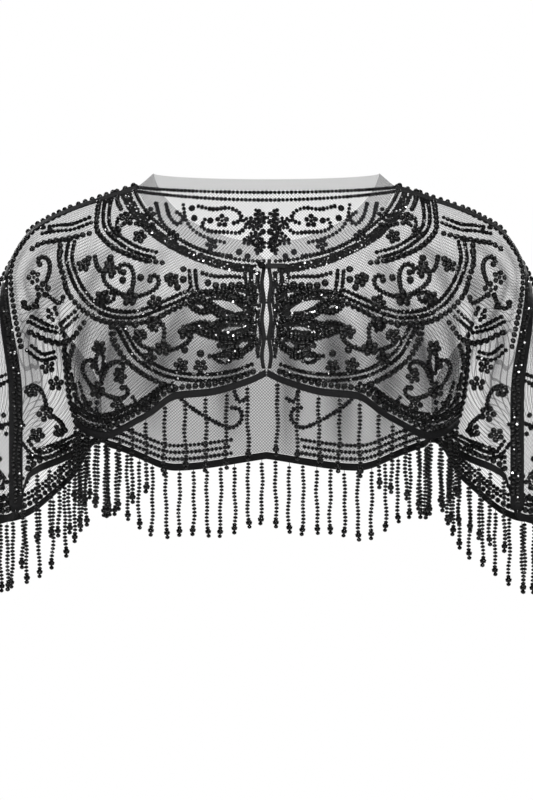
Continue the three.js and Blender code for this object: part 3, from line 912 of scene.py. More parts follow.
def path_mesh(name, paths):
    """Paths as an edge mesh. Each is a dict of points, outward directions, sizes and directions along."""
    points = np.concatenate([path["points"] for path in paths])
    mesh = bpy.data.meshes.new(name)
    edges = []
    start = 0
    for path in paths:
        count = len(path["points"])
        if path.get("joined", True):
            edges += [(start + i, start + i + 1) for i in range(count - 1)]
        start += count
    mesh.from_pydata(points.tolist(), edges, [])
    outs = [path["out"] for path in paths]
    sizes = [np.broadcast_to(path.get("size", 1.0), len(path["points"])) for path in paths]
    ways = [path["along"] if "along" in path else np.gradient(path["points"], axis=0) for path in paths]
    for label, kind, field, values in (
        ("out", "FLOAT_VECTOR", "vector", outs),
        ("size", "FLOAT", "value", sizes),
        ("along", "FLOAT_VECTOR", "vector", ways),
    ):
        layer = mesh.attributes.new(label, kind, "POINT")
        layer.data.foreach_set(field, np.concatenate(values).astype(float).ravel())
    return mesh


def make_beads(name, tree, paths, material, spacing, length, width, height, seed, tilt=0.08, variation=0.05):
    """Runs a bead tree over some paths, and returns the plain mesh. Sizes are in millimetres."""
    thing = add_object(name, path_mesh(name, paths))
    modifier = thing.modifiers.new("beads", "NODES")
    modifier.node_group = tree
    values = {
        "Spacing": MM * spacing,
        "Length": MM * length,
        "Width": MM * width,
        "Height": MM * height,
        "Tilt": tilt,
        "Size variation": variation,
        "Seed": seed,
        "Material": material,
    }
    for item in tree.interface.items_tree:
        if item.item_type == "SOCKET" and item.in_out == "INPUT" and item.name in values:
            modifier[item.identifier] = values[item.name]
    return plain_mesh(thing)


def join(name, things):
    """Joins mesh objects into one of that name."""
    first = things[0]
    with bpy.context.temp_override(
        active_object=first, object=first, selected_objects=things, selected_editable_objects=things
    ):
        bpy.ops.object.join()
    first.name = name
    first.data.name = name
    return first


# Fringe: the same strands as the solids, as threads of small beads
FRINGE_LENGTH = 67
FRINGE_LENGTH_VARIATION = 3
STRAND_ROOT = 2.5
STRAND_STEPS = 15
STRAND_SWAY = 1.1
STRAND_DEPTH_SWAY = 0.7
STRAND_KINK = 0.55
CENTRE_FRINGE_PITCH = 18
SIDE_FRINGE_PITCH = 13
CENTRE_FRINGE_END = 0.27
UNDERARM_FRONT = 0.7
UNDERARM_BACK = 1.55
UNDERARM_FRINGE_GAP = 0.055
FRINGE_BEAD = dict(spacing=3.25, length=3.05, width=4.6, height=4.3)
THREAD_SHARE = 0.085
BEADED_SHARE = 0.875
END_SHARES = (0.925, 0.988)
END_SIZES = np.array([1.0, 0.72])
END_BEAD = dict(spacing=1, length=5.6, width=6.3, height=6.0)
FRONT_WAY = [0.0, -1.0, 0.0]
DOWN_WAY = [0.0, 0.0, -1.0]
THREAD_RADIUS = 0.35


def strand_turns(start, end):
    """Turns of the strands: a pitch measured level along the hem."""
    turns = np.arange(start, end, 0.0005)
    points = cloth_point(turns, hem_drop(turns)) / MM
    steps = np.concatenate([[0], np.hypot(*np.diff(points[:, :2], axis=0).T)])
    along = folded_turn(turns)
    pitches = np.where(along < CENTRE_FRINGE_END, CENTRE_FRINGE_PITCH, SIDE_FRINGE_PITCH)
    in_fold = np.minimum(np.abs(along - UNDERARM_FRONT), np.abs(along - UNDERARM_BACK)) < UNDERARM_FRINGE_GAP
    found = []
    run = 0.0
    for turn, step, pitch, hidden in zip(turns[1:], steps[1:], pitches[1:], in_fold[1:]):
        run += step
        if not hidden and run >= pitch * (1 if found else 0.5):
            found.append(turn)
            run = 0.0
    return np.array(found)


def strand_path(turn, length, number):
    """A slightly wavy strand hanging from the hem binding."""
    root = on_cloth(turn, step_down(turn, hem_drop(turn), -STRAND_ROOT))
    drops = np.linspace(0, 1, STRAND_STEPS)
    kink = STRAND_KINK * np.minimum(1, 4 * drops) * np.sin(4.1 * number + 13 * drops)
    sway = MM * (STRAND_SWAY * drops * np.sin(2.3 * number + 4.2 * drops) + kink)
    depth = MM * STRAND_DEPTH_SWAY * drops * np.cos(1.7 * number + 3.1 * drops)
    return root + np.stack([sway, depth, -MM * length * drops], -1)


def along_strand(path, at):
    """Points at some shares of a strand's length."""
    shares = np.linspace(0, 1, len(path))
    return np.stack([np.interp(at, shares, path[:, k]) for k in range(3)], -1)


def add_fringes():
    for panel in PANELS:
        threads, rows, ends = [], [], []
        stops = panel["stops"]
        for number, turn in enumerate(strand_turns(stops[0], stops[-1])):
            length = FRINGE_LENGTH + FRINGE_LENGTH_VARIATION * math.sin(5.1 * number)
            path = strand_path(np.array(turn), length, number)
            first = THREAD_SHARE + 0.02 * math.sin(3.3 * number)
            beads = along_strand(path, np.linspace(first, BEADED_SHARE, 16))
            end = along_strand(path, END_SHARES)
            rows.append(dict(points=beads, out=np.tile(FRONT_WAY, (len(beads), 1))))
            out = np.tile(FRONT_WAY, (2, 1))
            down = np.tile(DOWN_WAY, (2, 1))
            ends.append(dict(points=end, out=out, size=END_SIZES, along=down, joined=False))
            threads.append(path)
        side = panel["side"]
        strings = thread_mesh("fringe_threads_" + side, threads)
        row_beads = make_beads("fringe_rows_" + side, BEAD_ROWS, rows, BEAD, tilt=0.1, seed=3, **FRINGE_BEAD)
        end_beads = make_beads("fringe_ends_" + side, BEAD_POINTS, ends, BEAD, seed=4, **END_BEAD)
        fringe = join("bead_fringe_" + side, [row_beads, end_beads, strings])
        dress(fringe, "hem_fringe_" + side)


def thread_mesh(name, paths):
    """Thin three-sided threads along some paths."""
    points, faces = [], []
    for path in paths:
        start = len(points)
        for place in path:
            for k in range(3):
                angle = 2 * math.pi * k / 3
                offset = np.array([math.cos(angle), math.sin(angle), 0]) * MM * THREAD_RADIUS
                points.append((place + offset).tolist())
        for i in range(len(path) - 1):
            for k in range(3):
                a = start + 3 * i + k
                b = start + 3 * i + (k + 1) % 3
                faces.append((a + 3, b + 3, b, a))
        last = start + 3 * (len(path) - 1)
        faces += [(start, start + 1, start + 2), (last + 2, last + 1, last)]
    mesh = bpy.data.meshes.new(name)
    mesh.from_pydata(points, [], faces)
    return add_object(name, mesh, SATIN)


add_fringes()

# Bead embroidery: drawn in the front elevation in millimetres, right half, then carried onto the cloth

DRAW_STEP = 1.6


def smooth_line(controls):
    """An even line through given points, each a pair of x and z."""
    controls = np.array(controls, float)
    before = 2 * controls[0] - controls[1]
    after = 2 * controls[-1] - controls[-2]
    padded = np.vstack([before, controls, after])
    shares = np.linspace(0, 1, 12, endpoint=False)[:, None]
    parts = []
    for a, b, c, d in zip(padded, padded[1:], padded[2:], padded[3:]):
        cubic = 2 * b + (c - a) * shares + (2 * a - 5 * b + 4 * c - d) * shares**2
        parts.append((cubic + (3 * b - 3 * c + d - a) * shares**3) / 2)
    return even_line(np.vstack(parts + [controls[-1:]]))


def even_line(line):
    lengths = np.concatenate([[0], np.cumsum(np.linalg.norm(np.diff(line, axis=0), axis=1))])
    count = max(2, int(round(lengths[-1] / DRAW_STEP)) + 1)
    at = np.linspace(0, lengths[-1], count)
    return np.stack([np.interp(at, lengths, line[:, k]) for k in range(2)], -1)


def beside(line, mm):
    """The line moved sideways, to the left of its heading when positive."""
    way = np.gradient(line, axis=0)
    way /= np.linalg.norm(way, axis=1, keepdims=True) + 1e-12
    return line + mm * np.stack([-way[:, 1], way[:, 0]], -1)


CURL_FIRST_BEND = 0.012
CURL_LAST_BEND = 0.34
CURL_TIGHTENING = 2.2


def curl(at, heading, length, hand):
    """A scroll: it leaves a point at a heading in degrees and curls ever tighter to one hand."""
    count = max(4, int(length / DRAW_STEP))
    share = np.linspace(0, 1, count)
    bend = lerp(CURL_FIRST_BEND, CURL_LAST_BEND, share**CURL_TIGHTENING)
    angle = np.radians(heading) + hand * np.cumsum(bend) * length / count
    steps = np.stack([np.cos(angle), np.sin(angle)], -1) * length / count
    return np.vstack([[at], np.array(at) + np.cumsum(steps, axis=0)])


def leaf(at, heading, length, width, inset=0.0):
    """A closed leaf outline from its stem end to its tip and back."""
    share = np.linspace(0, 1, 24)
    half = (width / 2) * np.sin(np.pi * share**0.8) - inset
    keep = half > 0
    share, half = share[keep], half[keep]
    upper = np.stack([length * share, half], -1)
    lower = np.stack([length * share, -half], -1)[::-1]
    outline = np.vstack([upper, lower, upper[:1]])
    angle = np.radians(heading)
    turn_it = np.array([[np.cos(angle), np.sin(angle)], [-np.sin(angle), np.cos(angle)]])
    return even_line(outline @ turn_it + np.array(at))


# Scallop lines of the front: a kind of row, with "rope" drawn as a pair, and its places as x and z
SCALLOPS = [
    # Neck scallop
    ("round", [(152, -12), (153.5, -28), (153.5, -44), (148, -53), (138, -62), (125, -68.5), (108, -74.5),
        (93, -77)]),
    # Neck scallop, inner
    ("rope", [(143, -10), (145.6, -28), (143.5, -43), (133, -54), (118, -63.5), (99.6, -69.4)]),
    # Shoulder scallop
    ("round", [(186, -60), (186, -74), (182, -89), (177, -103), (164, -118), (148, -127), (129, -130.5),
        (103, -129), (85, -120), (62, -109)]),
    # Shoulder scallop, inner
    ("rope", [(176, -56), (177.5, -72), (172, -89), (164, -103), (153.5, -114), (138.5, -121),
        (118, -123), (98, -117), (68, -104)]),
    # Arm scallop
    ("round", [(214, -138), (194, -147), (174, -144), (161, -130)]),
    # Arm scallop, inner
    ("rope", [(214, -126), (199.6, -133), (184.5, -133), (169, -122)]),
    # Arm top row
    ("round", [(212, -62), (203, -57), (185, -55), (160, -49)]),
    # Arm top row, inner
    ("rope", [(204, -45), (190, -43), (176, -42), (160, -36)]),
    # Front scallop
    ("round", [(136, -134), (133, -149), (124, -163), (108, -176), (92, -184.5)]),
    # Front scallop, inner
    ("rope", [(129, -134), (123.5, -145), (116, -157), (103, -167.5), (84, -176), (55, -179), (30, -176),
        (12, -170)]),
    # Side line
    ("round", [(171, -150), (176, -166), (173, -186), (167, -203)]),
    # Side line, inner
    ("rope", [(168, -184), (163, -200), (152, -213), (135, -213), (116, -205), (98, -195)]),
    # Yoke upright
    ("rope", [(66, -84), (65, -95), (63, -105)]),
    # Yoke bar
    ("neck", [(57, -86), (45, -89), (32, -89), (20, -90)]),
    # Lower yoke bar
    ("neck", [(56, -103), (44, -105), (34, -104)]),
]
ROPE_GAP = 5.3

# Scrolls, leaves and florets in the scallops: a generic layout of common ornament
CURLS = table(
    "at heading length hand",
    ((120, -103), 104, 44, -1), ((128, -105), 24, 46, 1), ((115, -107), 168, 40, -1),
    ((154, -70), 262, 24, -1), ((198, -94), 112, 38, -1), ((197, -103), 232, 22, -1),
    ((205, -103), 292, 26, 1), ((91, -147), 100, 26, -1), ((85, -155), 166, 40, -1),
    ((97, -155), 10, 34, 1), ((50, -160), 186, 30, -1), ((146, -184), 104, 42, 1),
    ((155, -186), 52, 36, 1), ((144, -193), 206, 34, -1), ((118, -40), 196, 30, -1),
    ((132, -26), 60, 24, 1),
)
LEAVES = table(
    "at heading length width",
    ((148, -176), 92, 24, 9), ((134, -106), 352, 18, 9), ((98, -138), 70, 14, 8), ((30, -162), 4, 17, 9),
    ((127, -30), 300, 16, 8),
)
FLORETS = table(
    "at radius",
    ((121, -108), 5.8), ((146, -108), 5.4), ((99, -112), 5.2), ((164, -78), 5.0), ((140, -80), 4.8),
    ((84, -92), 5.0), ((201, -99), 5.8), ((193, -120), 5.0), ((209, -88), 4.8), ((91, -153), 5.6),
    ((112, -142), 5.2), ((75, -168), 5.0), ((103, -162), 5.0), ((58, -169), 4.8), ((72, -139), 5.0),
    ((150, -190), 5.6), ((131, -202), 5.2), ((160, -203), 5.0), ((129, -178), 5.0), ((148, -152), 5.2),
    ((126, -36), 5.2), ((114, -52), 5.0), ((136, -49), 4.8),
)
DOTS = [
    (24, -97), (31, -97.5), (38, -98), (45, -97.5), (52, -95), (74, -92), (79, -99), (74, -83), (88, -90),
    (72, -155), (116, -132), (208, -112), (186, -66), (112, -90), (128, -92), (58, -158), (160, -72),
    (140, -72),
]

# The sleeve's own ornament, between the underarm fold and the overarm seam
SLEEVE_SCALLOPS = [
    # Sleeve line
    ("round", [(186, -152), (184, -172), (181, -196), (176, -218)]),
    # Sleeve scallop
    ("rope", [(217, -236), (208, -247), (196, -247), (184, -238)]),
    # Sleeve top scallop
    ("rope", [(214, -152), (204, -160), (194, -158)]),
]
SLEEVE_CURLS = table(
    "at heading length hand",
    ((199, -206), 84, 38, -1), ((196, -212), 214, 28, 1),
)
SLEEVE_FLORETS = table(
    "at radius",
    ((211, -190), 4.8), ((188, -226), 4.8), ((200, -211), 5.6), ((192, -184), 5.2), ((207, -230), 5.2),
    ((199, -169), 4.8),
)


def visible_grid(turns, skip):
    """Places of the cloth that an elevation shows, without the hidden part of a fold."""
    drops = np.linspace(0, 0.98, 64)
    turn, drop = np.meshgrid(turns, drops, indexing="ij")
    hidden = (turn > skip[0]) & (turn < skip[1]) & (drop > 0.5)
    turn, drop = turn[~hidden], drop[~hidden]
    points = cloth_point(turn, drop) / MM
    return turn, drop, points


FRONT_VIEW = visible_grid(np.linspace(0, 1.17, 84), (0.55, 0.74))
BACK_VIEW = visible_grid(np.linspace(1.0, 2.0, 76), (1.47, 1.62))


NEAR_SIDE_WEIGHT = 0.02
LEAST_AREA = 2000
LONGEST_STEP = 0.01


def places_of(line, view, near_side):
    """Turns and drops of the cloth that lie behind points of an elevation."""
    grid_turn, grid_drop, grid = view
    target = np.asarray(line, float)
    nearness = NEAR_SIDE_WEIGHT * near_side * grid[:, 1]
    best = np.concatenate([
        np.argmin((part[:, :1] - grid[:, 0]) ** 2 + (part[:, 1:] - grid[:, 2]) ** 2 + nearness, axis=1)
        for part in np.array_split(target, 1 + len(target) // 400)
    ])
    turn, drop = grid_turn[best], grid_drop[best]
    low, high = grid_turn.min(), grid_turn.max()
    for _ in range(9):
        here = cloth_point(turn, drop) / MM
        across, down = cloth_slopes(turn, drop)
        across, down = across / MM, down / MM
        miss = target - here[:, [0, 2]]
        area = across[:, 0] * down[:, 2] - across[:, 2] * down[:, 0]
        area = np.where(np.abs(area) < LEAST_AREA, np.sign(area + 1e-9) * LEAST_AREA, area)
        step_turn = (miss[:, 0] * down[:, 2] - miss[:, 1] * down[:, 0]) / area
        step_drop = (across[:, 0] * miss[:, 1] - across[:, 2] * miss[:, 0]) / area
        turn = np.clip(turn + np.clip(step_turn, -LONGEST_STEP, LONGEST_STEP), low, high)
        drop = np.clip(drop + np.clip(step_drop, -LONGEST_STEP, LONGEST_STEP), 0, 0.99)
    return turn, drop


CAMERA_Y = (VIEW_PLANE_Y - VIEW_DISTANCE) / MM
CAMERA_Z = VIEW_HEIGHT_Z / MM


def behind_front(turn, drop):
    """Places on the back that lie behind places of the front, as the photograph sees them."""
    near = cloth_point(turn, drop) / MM
    depth = np.full(len(near), 80.0)
    for _ in range(3):
        reach = (depth - CAMERA_Y) / (near[:, 1] - CAMERA_Y)
        line = np.stack([near[:, 0] * reach, CAMERA_Z + (near[:, 2] - CAMERA_Z) * reach], -1)
        back_turn, back_drop = places_of(line, BACK_VIEW, -1)
        depth = cloth_point(back_turn, back_drop)[:, 1] / MM
    return back_turn, back_drop


HEM_CLEARANCE = 9.3
NECK_CLEARANCE = 2.0
TAPE_CLEARANCE_BACK = 4.2
TAPE_CLEARANCE_LOW_BACK = 7.4
TAPE_CLEARANCE_FRONT = 14.5
TAPE_CLEARANCE_LOW_FRONT = 10.2
CENTRE_CLEARANCE = 5.4


def on_panel(turn, drop):
    """Where a bead is clear of the neckline, the bindings and the tape."""
    across, down = cloth_slopes(turn, drop)
    reach = np.linalg.norm(down, axis=-1) / MM
    wide = np.linalg.norm(across, axis=-1) / MM
    clear = ((hem_drop(turn) - drop) * reach > HEM_CLEARANCE) & (drop * reach > NECK_CLEARANCE)
    lower = smoothstep(drop, TAPE_TURNS_AT, TAPE_TURNED_AT)
    front_tape = lerp(TAPE_CLEARANCE_FRONT, TAPE_CLEARANCE_LOW_FRONT, lower)
    back_tape = lerp(TAPE_CLEARANCE_BACK, TAPE_CLEARANCE_LOW_BACK, lower)
    clear &= np.abs(turn - 1) * wide > np.where(turn < 1, front_tape, back_tape)
    clear &= np.minimum(turn, 4 - turn) * wide > CENTRE_CLEARANCE
    return clear


class Embroidery:
    """Bead rows and single beads by kind, on the right half of the front or of the back."""

    def __init__(self):
        self.rows = []
        self.singles = []
        self.drawn = []

    def draw(self, kind, line, size=None):
        """Keeps a drawn line, or single beads when a size is given, until it is carried onto the cloth."""
        self.drawn.append((kind, np.asarray(line, float), size))

    def carry(self, onto_cloth):
        """Carries all that was drawn onto the cloth at once."""
        stops = np.cumsum([len(line) for _, line, _ in self.drawn])[:-1]
        turn, drop = onto_cloth(np.vstack([line for _, line, _ in self.drawn]))
        for (kind, _, size), turns, drops in zip(self.drawn, np.split(turn, stops), np.split(drop, stops)):
            if size is None:
                self.row(kind, turns, drops)
            else:
                self.single(kind, turns, drops, size)
        self.drawn = []

    def row(self, kind, turn, drop):
        """A row along places of the cloth, cut where it leaves the panel or jumps over a fold."""
        clear = on_panel(turn, drop) & np.isfinite(turn)
        points = cloth_point(turn, drop)
        jump = np.linalg.norm(np.diff(points, axis=0), axis=1) > MM * 5 * DRAW_STEP
        start = 0
        for i in range(len(turn) + 1):
            stop = i == len(turn) or not clear[i] or (i > start and jump[i - 1])
            if not stop:
                continue
            if i - start > 1:
                self.rows.append((kind, turn[start:i], drop[start:i]))
            start = i if i < len(turn) and clear[i] else i + 1

    def single(self, kind, turn, drop, size):
        clear = on_panel(turn, drop) & np.isfinite(turn)
        if clear.any():
            self.singles.append((kind, turn[clear], drop[clear], size))


def scallop_rows(scallops):
    """Pairs of a row kind and its line. A rope row is doubled."""
    for kind, controls in scallops:
        line = smooth_line(controls)
        if kind == "rope":
            yield "rope", beside(line, ROPE_GAP / 2)
            yield "rope", beside(line, -ROPE_GAP / 2)
        else:
            yield kind, line


FLORET_PETALS = 5
FLORET_RADIUS = 5.2
PETAL_RING = 0.86
FLORET_EYE = 0.75
FLORET_TURN = 25
DOT_SIZE = 1.15


def floret_points(at, radius, start):
    angles = np.radians(start + 360 * np.arange(FLORET_PETALS) / FLORET_PETALS)
    return np.array(at) + radius * np.stack([np.cos(angles), np.sin(angles)], -1)


def draw_ornament(work, scallops, curls, leaves, florets, dots):
    for kind, line in scallop_rows(scallops):
        work.draw(kind, line)
    for row in curls:
        line = curl(**row)
        work.draw("curl", line)
        work.draw("dot", line[-1:], 1.0)
    for row in leaves:
        work.draw("rope", leaf(**row))
    for number, row in enumerate(florets):
        size = row["radius"] / FLORET_RADIUS
        ring = PETAL_RING * row["radius"]
        work.draw("petal", floret_points(row["at"], ring, start=90 + FLORET_TURN * number), size)
        work.draw("petal", [row["at"]], FLORET_EYE * size)
    for at in dots:
        work.draw("dot", [at], DOT_SIZE)


ROW_STEPS = 260


def below_neckline(work, kind, start, end, mm):
    turns = np.linspace(start, end, ROW_STEPS)
    work.row(kind, turns, step_down(turns, np.zeros(ROW_STEPS), mm))


def above_hem(work, kind, start, end, mm):
    turns = np.linspace(start, end, ROW_STEPS)
    work.row(kind, turns, step_down(turns, hem_drop(turns), -mm))


def beside_seam(work, kind, mm, start=0.012, end=1.0):
    """A row beside the overarm seam, behind it when the distance is positive."""
    drops = np.linspace(start, end * float(hem_drop(1.0)), ROW_STEPS)
    work.row(kind, step_across(np.ones(ROW_STEPS), drops, mm), drops)


# Sequined leaves that open from the slit, and the sequined band beside it
SLIT_LEAVES = table(
    "at heading length width insets",
    ((10, -124), 20, 58, 24, (0, 3.4, 6.8)), ((10, -133), -8, 50, 20, (0, 3.4, 6.8)),
    ((8, -108), 10, 34, 14, (0, 3.4)), ((9, -143), -30, 32, 14, (0, 3.4)),
    ((68, -114), 190, 26, 12, (0, 3.2)), ((20, -159), 12, 18, 9, (0, 3.0)),
    ((36, -124), 30, 24, 12, (3.2,)), ((30, -144), -30, 20, 11, (3.2,)),
    ((44, -137), 8, 26, 11, (0, 3.0)),
)


def draw_slit_sequins(work):
    for row in SLIT_LEAVES:
        for inset in row["insets"]:
            kind = "sequin" if inset else "curl"
            work.draw(kind, leaf(row["at"], row["heading"], row["length"], row["width"], inset))
    for offset in (6.3, 9.2, 12.2, 15.2, 18.0):
        heights = np.linspace(-86, -168 + 1.2 * offset, 60)
        wander = 1.2 * np.sin(heights * 0.19 + offset)
        work.draw("sequin", np.stack([offset + wander, heights], -1))


def onto_front(line):
    return places_of(line, FRONT_VIEW, 1)


ROW_STEPS_TAPE = 160


def along_tape(work, start, end, first, last):
    """Sequins on the overarm tape, in a slightly wandering row between two distances in front of the seam."""
    drops = np.linspace(start, end, ROW_STEPS_TAPE)
    across = np.linspace(first, last, ROW_STEPS_TAPE) + 0.8 * np.sin(70 * drops)
    work.rows.append(("tape sequin", step_across(np.ones(ROW_STEPS_TAPE), drops, -across), drops))


def embroider_front():
    work = Embroidery()
    draw_ornament(work, SCALLOPS, CURLS, LEAVES, FLORETS, DOTS)
    draw_ornament(work, SLEEVE_SCALLOPS, SLEEVE_CURLS, [], SLEEVE_FLORETS, [])
    draw_slit_sequins(work)
    work.carry(onto_front)
    below_neckline(work, "neck", 0.04, 0.97, 3.2)
    for mm in (9.0, 11.8, 14.6, 17.4):
        below_neckline(work, "sequin", 0.05, 0.93, mm)
    for mm, kind, start, end in (
        (10.6, "round", 0.03, 0.54), (16.0, "rope", 0.22, 0.54), (20.4, "rope", 0.24, 0.54),
        (10.6, "round", 0.75, 0.985), (16.2, "rope", 0.76, 0.96), (20.8, "rope", 0.76, 0.95),
    ):
        above_hem(work, kind, start, end, mm)
    beside_seam(work, "round", -13.6, 0.4, 0.97)
    along_tape(work, 0.52, 0.92, 4.6, 4.2)
    along_tape(work, 0.6, 0.93, 0.4, -0.4)
    return work


# The back's own ornament, in its elevation: a yoke below the neckline and hooks above the hem
YOKE_ROWS = [
    # Outer garland
    ("curl", [(103, -15), (99, -30), (87, -43), (70, -53), (52, -59), (34, -62)]),
    # Inner garland
    ("neck", [(78, -15), (76, -28), (69, -38), (56, -45), (40, -49)]),
    # Upper bar
    ("curl", [(64, -16), (50, -18.5), (36, -17), (26, -21), (24, -28), (31, -31)]),
    # Lower bar
    ("curl", [(58, -28), (61, -35), (52, -39), (38, -39.5), (26, -40), (20, -35)]),
    # End loop
    ("curl", [(94, -15), (91, -26), (84, -33), (78, -27), (84, -22)]),
    # Hook above the hem
    ("curl", [(88, -190), (74, -204), (52, -218), (34, -225), (24, -218), (25, -208), (33, -206)]),
    # Upper hook
    ("curl", [(30, -176), (31, -188), (26, -200), (19, -197)]),
    # Side hook
    ("curl", [(126, -196), (118, -207), (106, -206), (103, -198), (110, -195)]),
]
YOKE_LEAVES = table(
    "at heading length width",
    ((3.2, -31), 64, 15, 8), ((5, -35), 24, 19, 10), ((5, -42), 338, 19, 10), ((3.2, -46), 296, 15, 8),
)
YOKE_FLORETS = table(
    "at radius",
    ((42, -29), 5.0), ((110, -24), 4.8), ((52, -51), 4.6), ((88, -44), 4.6),
)
YOKE_DOTS = [
    (53, -29), (70, -18), (68, -27), (3.5, -39), (26, -58), (18, -62), (62, -62), (78, -56),
]
YOKE_LIMIT_Z = -76
YOKE_LIMIT_X = 112
FOLD_TURNS = (0.44, 0.76)
FOLD_TOP = 0.45


def onto_back_round_yoke(line):
    """Places behind the front's ornament, but for the yoke and for what the front's underarm fold carries."""
    front_turn, front_drop = onto_front(line)
    in_fold = (front_turn > FOLD_TURNS[0]) & (front_turn < FOLD_TURNS[1]) & (front_drop > FOLD_TOP)
    turn, drop = behind_front(front_turn, front_drop)
    x, _, z = cloth_point(turn, drop).T / MM
    outside = ((z < YOKE_LIMIT_Z) | (x > YOKE_LIMIT_X)) & ~in_fold
    return np.where(outside, turn, np.nan), np.where(outside, drop, np.nan)


def onto_yoke(line):
    return places_of(line, BACK_VIEW, -1)


OUTER_SLEEVE_SHIFTS = (0.2, 0.37)
CREST_GROUPS = [(0.012, 0.09), (0.102, 0.16), (0.178, 0.235), (0.25, 0.5)]


def moved_sleeve(shift):
    """Carries the sleeve's front ornament round to its outer side."""

    def onto_sleeve(line):
        turn, drop = onto_front(line)
        moved = turn + shift
        return moved, drop * hem_drop(moved) / hem_drop(turn)

    return onto_sleeve


def embroider_back():
    work = Embroidery()
    draw_ornament(work, SCALLOPS, CURLS, LEAVES, FLORETS, DOTS)
    draw_ornament(work, SLEEVE_SCALLOPS, SLEEVE_CURLS, [], SLEEVE_FLORETS, [])
    draw_slit_sequins(work)
    work.carry(onto_back_round_yoke)
    draw_ornament(work, YOKE_ROWS, [], YOKE_LEAVES, YOKE_FLORETS, YOKE_DOTS)
    for row in YOKE_LEAVES:
        work.draw("sequin", leaf(**row, inset=0.3 * row["width"]))
    work.carry(onto_yoke)
    for shift in OUTER_SLEEVE_SHIFTS:
        draw_ornament(work, SLEEVE_SCALLOPS, SLEEVE_CURLS, [], SLEEVE_FLORETS, [])
        work.carry(moved_sleeve(shift))
    below_neckline(work, "neck", 1.03, 2.0, 2.6)
    below_neckline(work, "neck", 1.03, 2.0, 9.6)
    for start, end in CREST_GROUPS:
        beside_seam(work, "crest", 4.6, start, end)
    beside_seam(work, "round", 11.5)
    for mm, kind, start, end in (
        (10.6, "round", 1.015, 1.5), (16.2, "rope", 1.03, 1.5), (20.8, "rope", 1.03, 1.5),
        (11.0, "neck", 1.6, 1.93), (17.4, "neck", 1.6, 1.925), (23.8, "neck", 1.6, 1.93),
    ):
        above_hem(work, kind, start, end, mm)
    return work


# Sizes of each kind of bead, in millimetres
ROW_KINDS = table(
    "kind tree spacing length width height tilt variation",
    ("rope", CUT_BEAD_ROWS, 4.0, 4.4, 4.4, 3.2, 0.3, 0.13),
    ("curl", BEAD_ROWS, 3.6, 4.2, 5.1, 3.9, 0.2, 0.12),
    ("round", BEAD_ROWS, 5.8, 5.9, 5.9, 4.4, 0.15, 0.07),
    ("neck", BEAD_ROWS, 3.9, 4.2, 4.3, 3.4, 0.1, 0.06),
    ("crest", BEAD_ROWS, 5.4, 5.5, 5.3, 5.4, 0.1, 0.1),
    ("sequin", SEQUIN_ROWS, 2.7, 4.0, 4.0, 1.9, 0.42, 0.1),
    ("tape sequin", SEQUIN_ROWS, 3.6, 4.0, 4.0, 1.9, 0.5, 0.1),
)
SINGLE_KINDS = table(
    "kind tree spacing length width height tilt variation",
    ("petal", BEAD_POINTS, 1, 6.0, 5.8, 4.1, 0.25, 0.08),
    ("dot", BEAD_POINTS, 1, 6.2, 6.2, 4.4, 0.2, 0.06),
)


def cloth_path(turn, drop, out, **extra):
    return dict(points=on_cloth(turn, drop, out), out=outward(turn, drop), **extra)


SIZE_NAMES = ("spacing", "length", "width", "height", "tilt", "variation")
BEAD_SEAT = 0.46


def sew_on(name, work, half, seed):
    """Makes every row and single bead of a work on one panel, and joins them to one piece."""
    things = []
    for row in ROW_KINDS:
        kind, tree, sizes = row["kind"], row["tree"], {key: row[key] for key in SIZE_NAMES}
        lift = TAPE_OUT + TAPE_ROLL if kind == "tape sequin" else NET_THICKNESS / 2
        out = lift + sizes["height"] * BEAD_SEAT
        paths = [cloth_path(half(turn), drop, out) for row_kind, turn, drop in work.rows if row_kind == kind]
        if paths:
            material = SEQUIN if "sequin" in kind else BEAD
            things.append(make_beads(f"{name}_{kind}", tree, paths, material, seed=seed, **sizes))
    for row in SINGLE_KINDS:
        kind, tree, sizes = row["kind"], row["tree"], {key: row[key] for key in SIZE_NAMES}
        out = NET_THICKNESS / 2 + sizes["height"] * BEAD_SEAT
        paths = []
        for single_kind, turn, drop, size in work.singles:
            if single_kind == kind:
                across, _ = cloth_slopes(half(turn), drop)
                paths.append(cloth_path(half(turn), drop, out, size=size, along=unit(across), joined=False))
        if paths:
            things.append(make_beads(f"{name}_{kind}", tree, paths, BEAD, seed=seed + 7, **sizes))
    piece = join(name, things)
    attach(piece, "root")


def right_half(turn):
    return turn


def left_half(turn):
    return 4 - turn


FRONT_WORK = embroider_front()
BACK_WORK = embroider_back()
sew_on("embroidery_front_right", FRONT_WORK, right_half, 11)
sew_on("embroidery_front_left", FRONT_WORK, left_half, 12)
sew_on("embroidery_back_right", BACK_WORK, right_half, 13)
sew_on("embroidery_back_left", BACK_WORK, left_half, 14)

# Fastenings


def finish_cad_nodes():
    """Hooks, eyes, button and loop keep their shape, and get a finer finish."""
    for name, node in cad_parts.items():
        finish = None
        if name.startswith(("eye_", "hook_")):
            finish = WIRE
        elif name == "neck_button":
            finish = BEAD
        elif name == "neck_loop":
            finish = SATIN_SOLID
        if finish:
            for slot in node.material_slots:
                slot.material = finish


def solid_satin_material():
    """The satin of small solid parts, on object coordinates."""
    material, tree, shader = new_material("black satin cord")
    place = tree.nodes.new("ShaderNodeTexCoord")
    weave = tree.nodes.new("ShaderNodeTexNoise")
    weave.inputs["Scale"].default_value = 900
    tree.links.new(place.outputs["Object"], weave.inputs["Vector"])
    add_dye(tree, shader, place.outputs["Object"], 300.0, SATIN_DARK, SATIN_LIGHT)
    add_bump(tree, shader, weave.outputs[0], 0.6, 0.0005)
    set_values(shader, Roughness=0.5, Specular_IOR_Level=0.2)
    return material


SATIN_SOLID = solid_satin_material()
finish_cad_nodes()

# Floor, light and background

FLOOR_Z = -1.35
FLOOR_RADIUS = 60


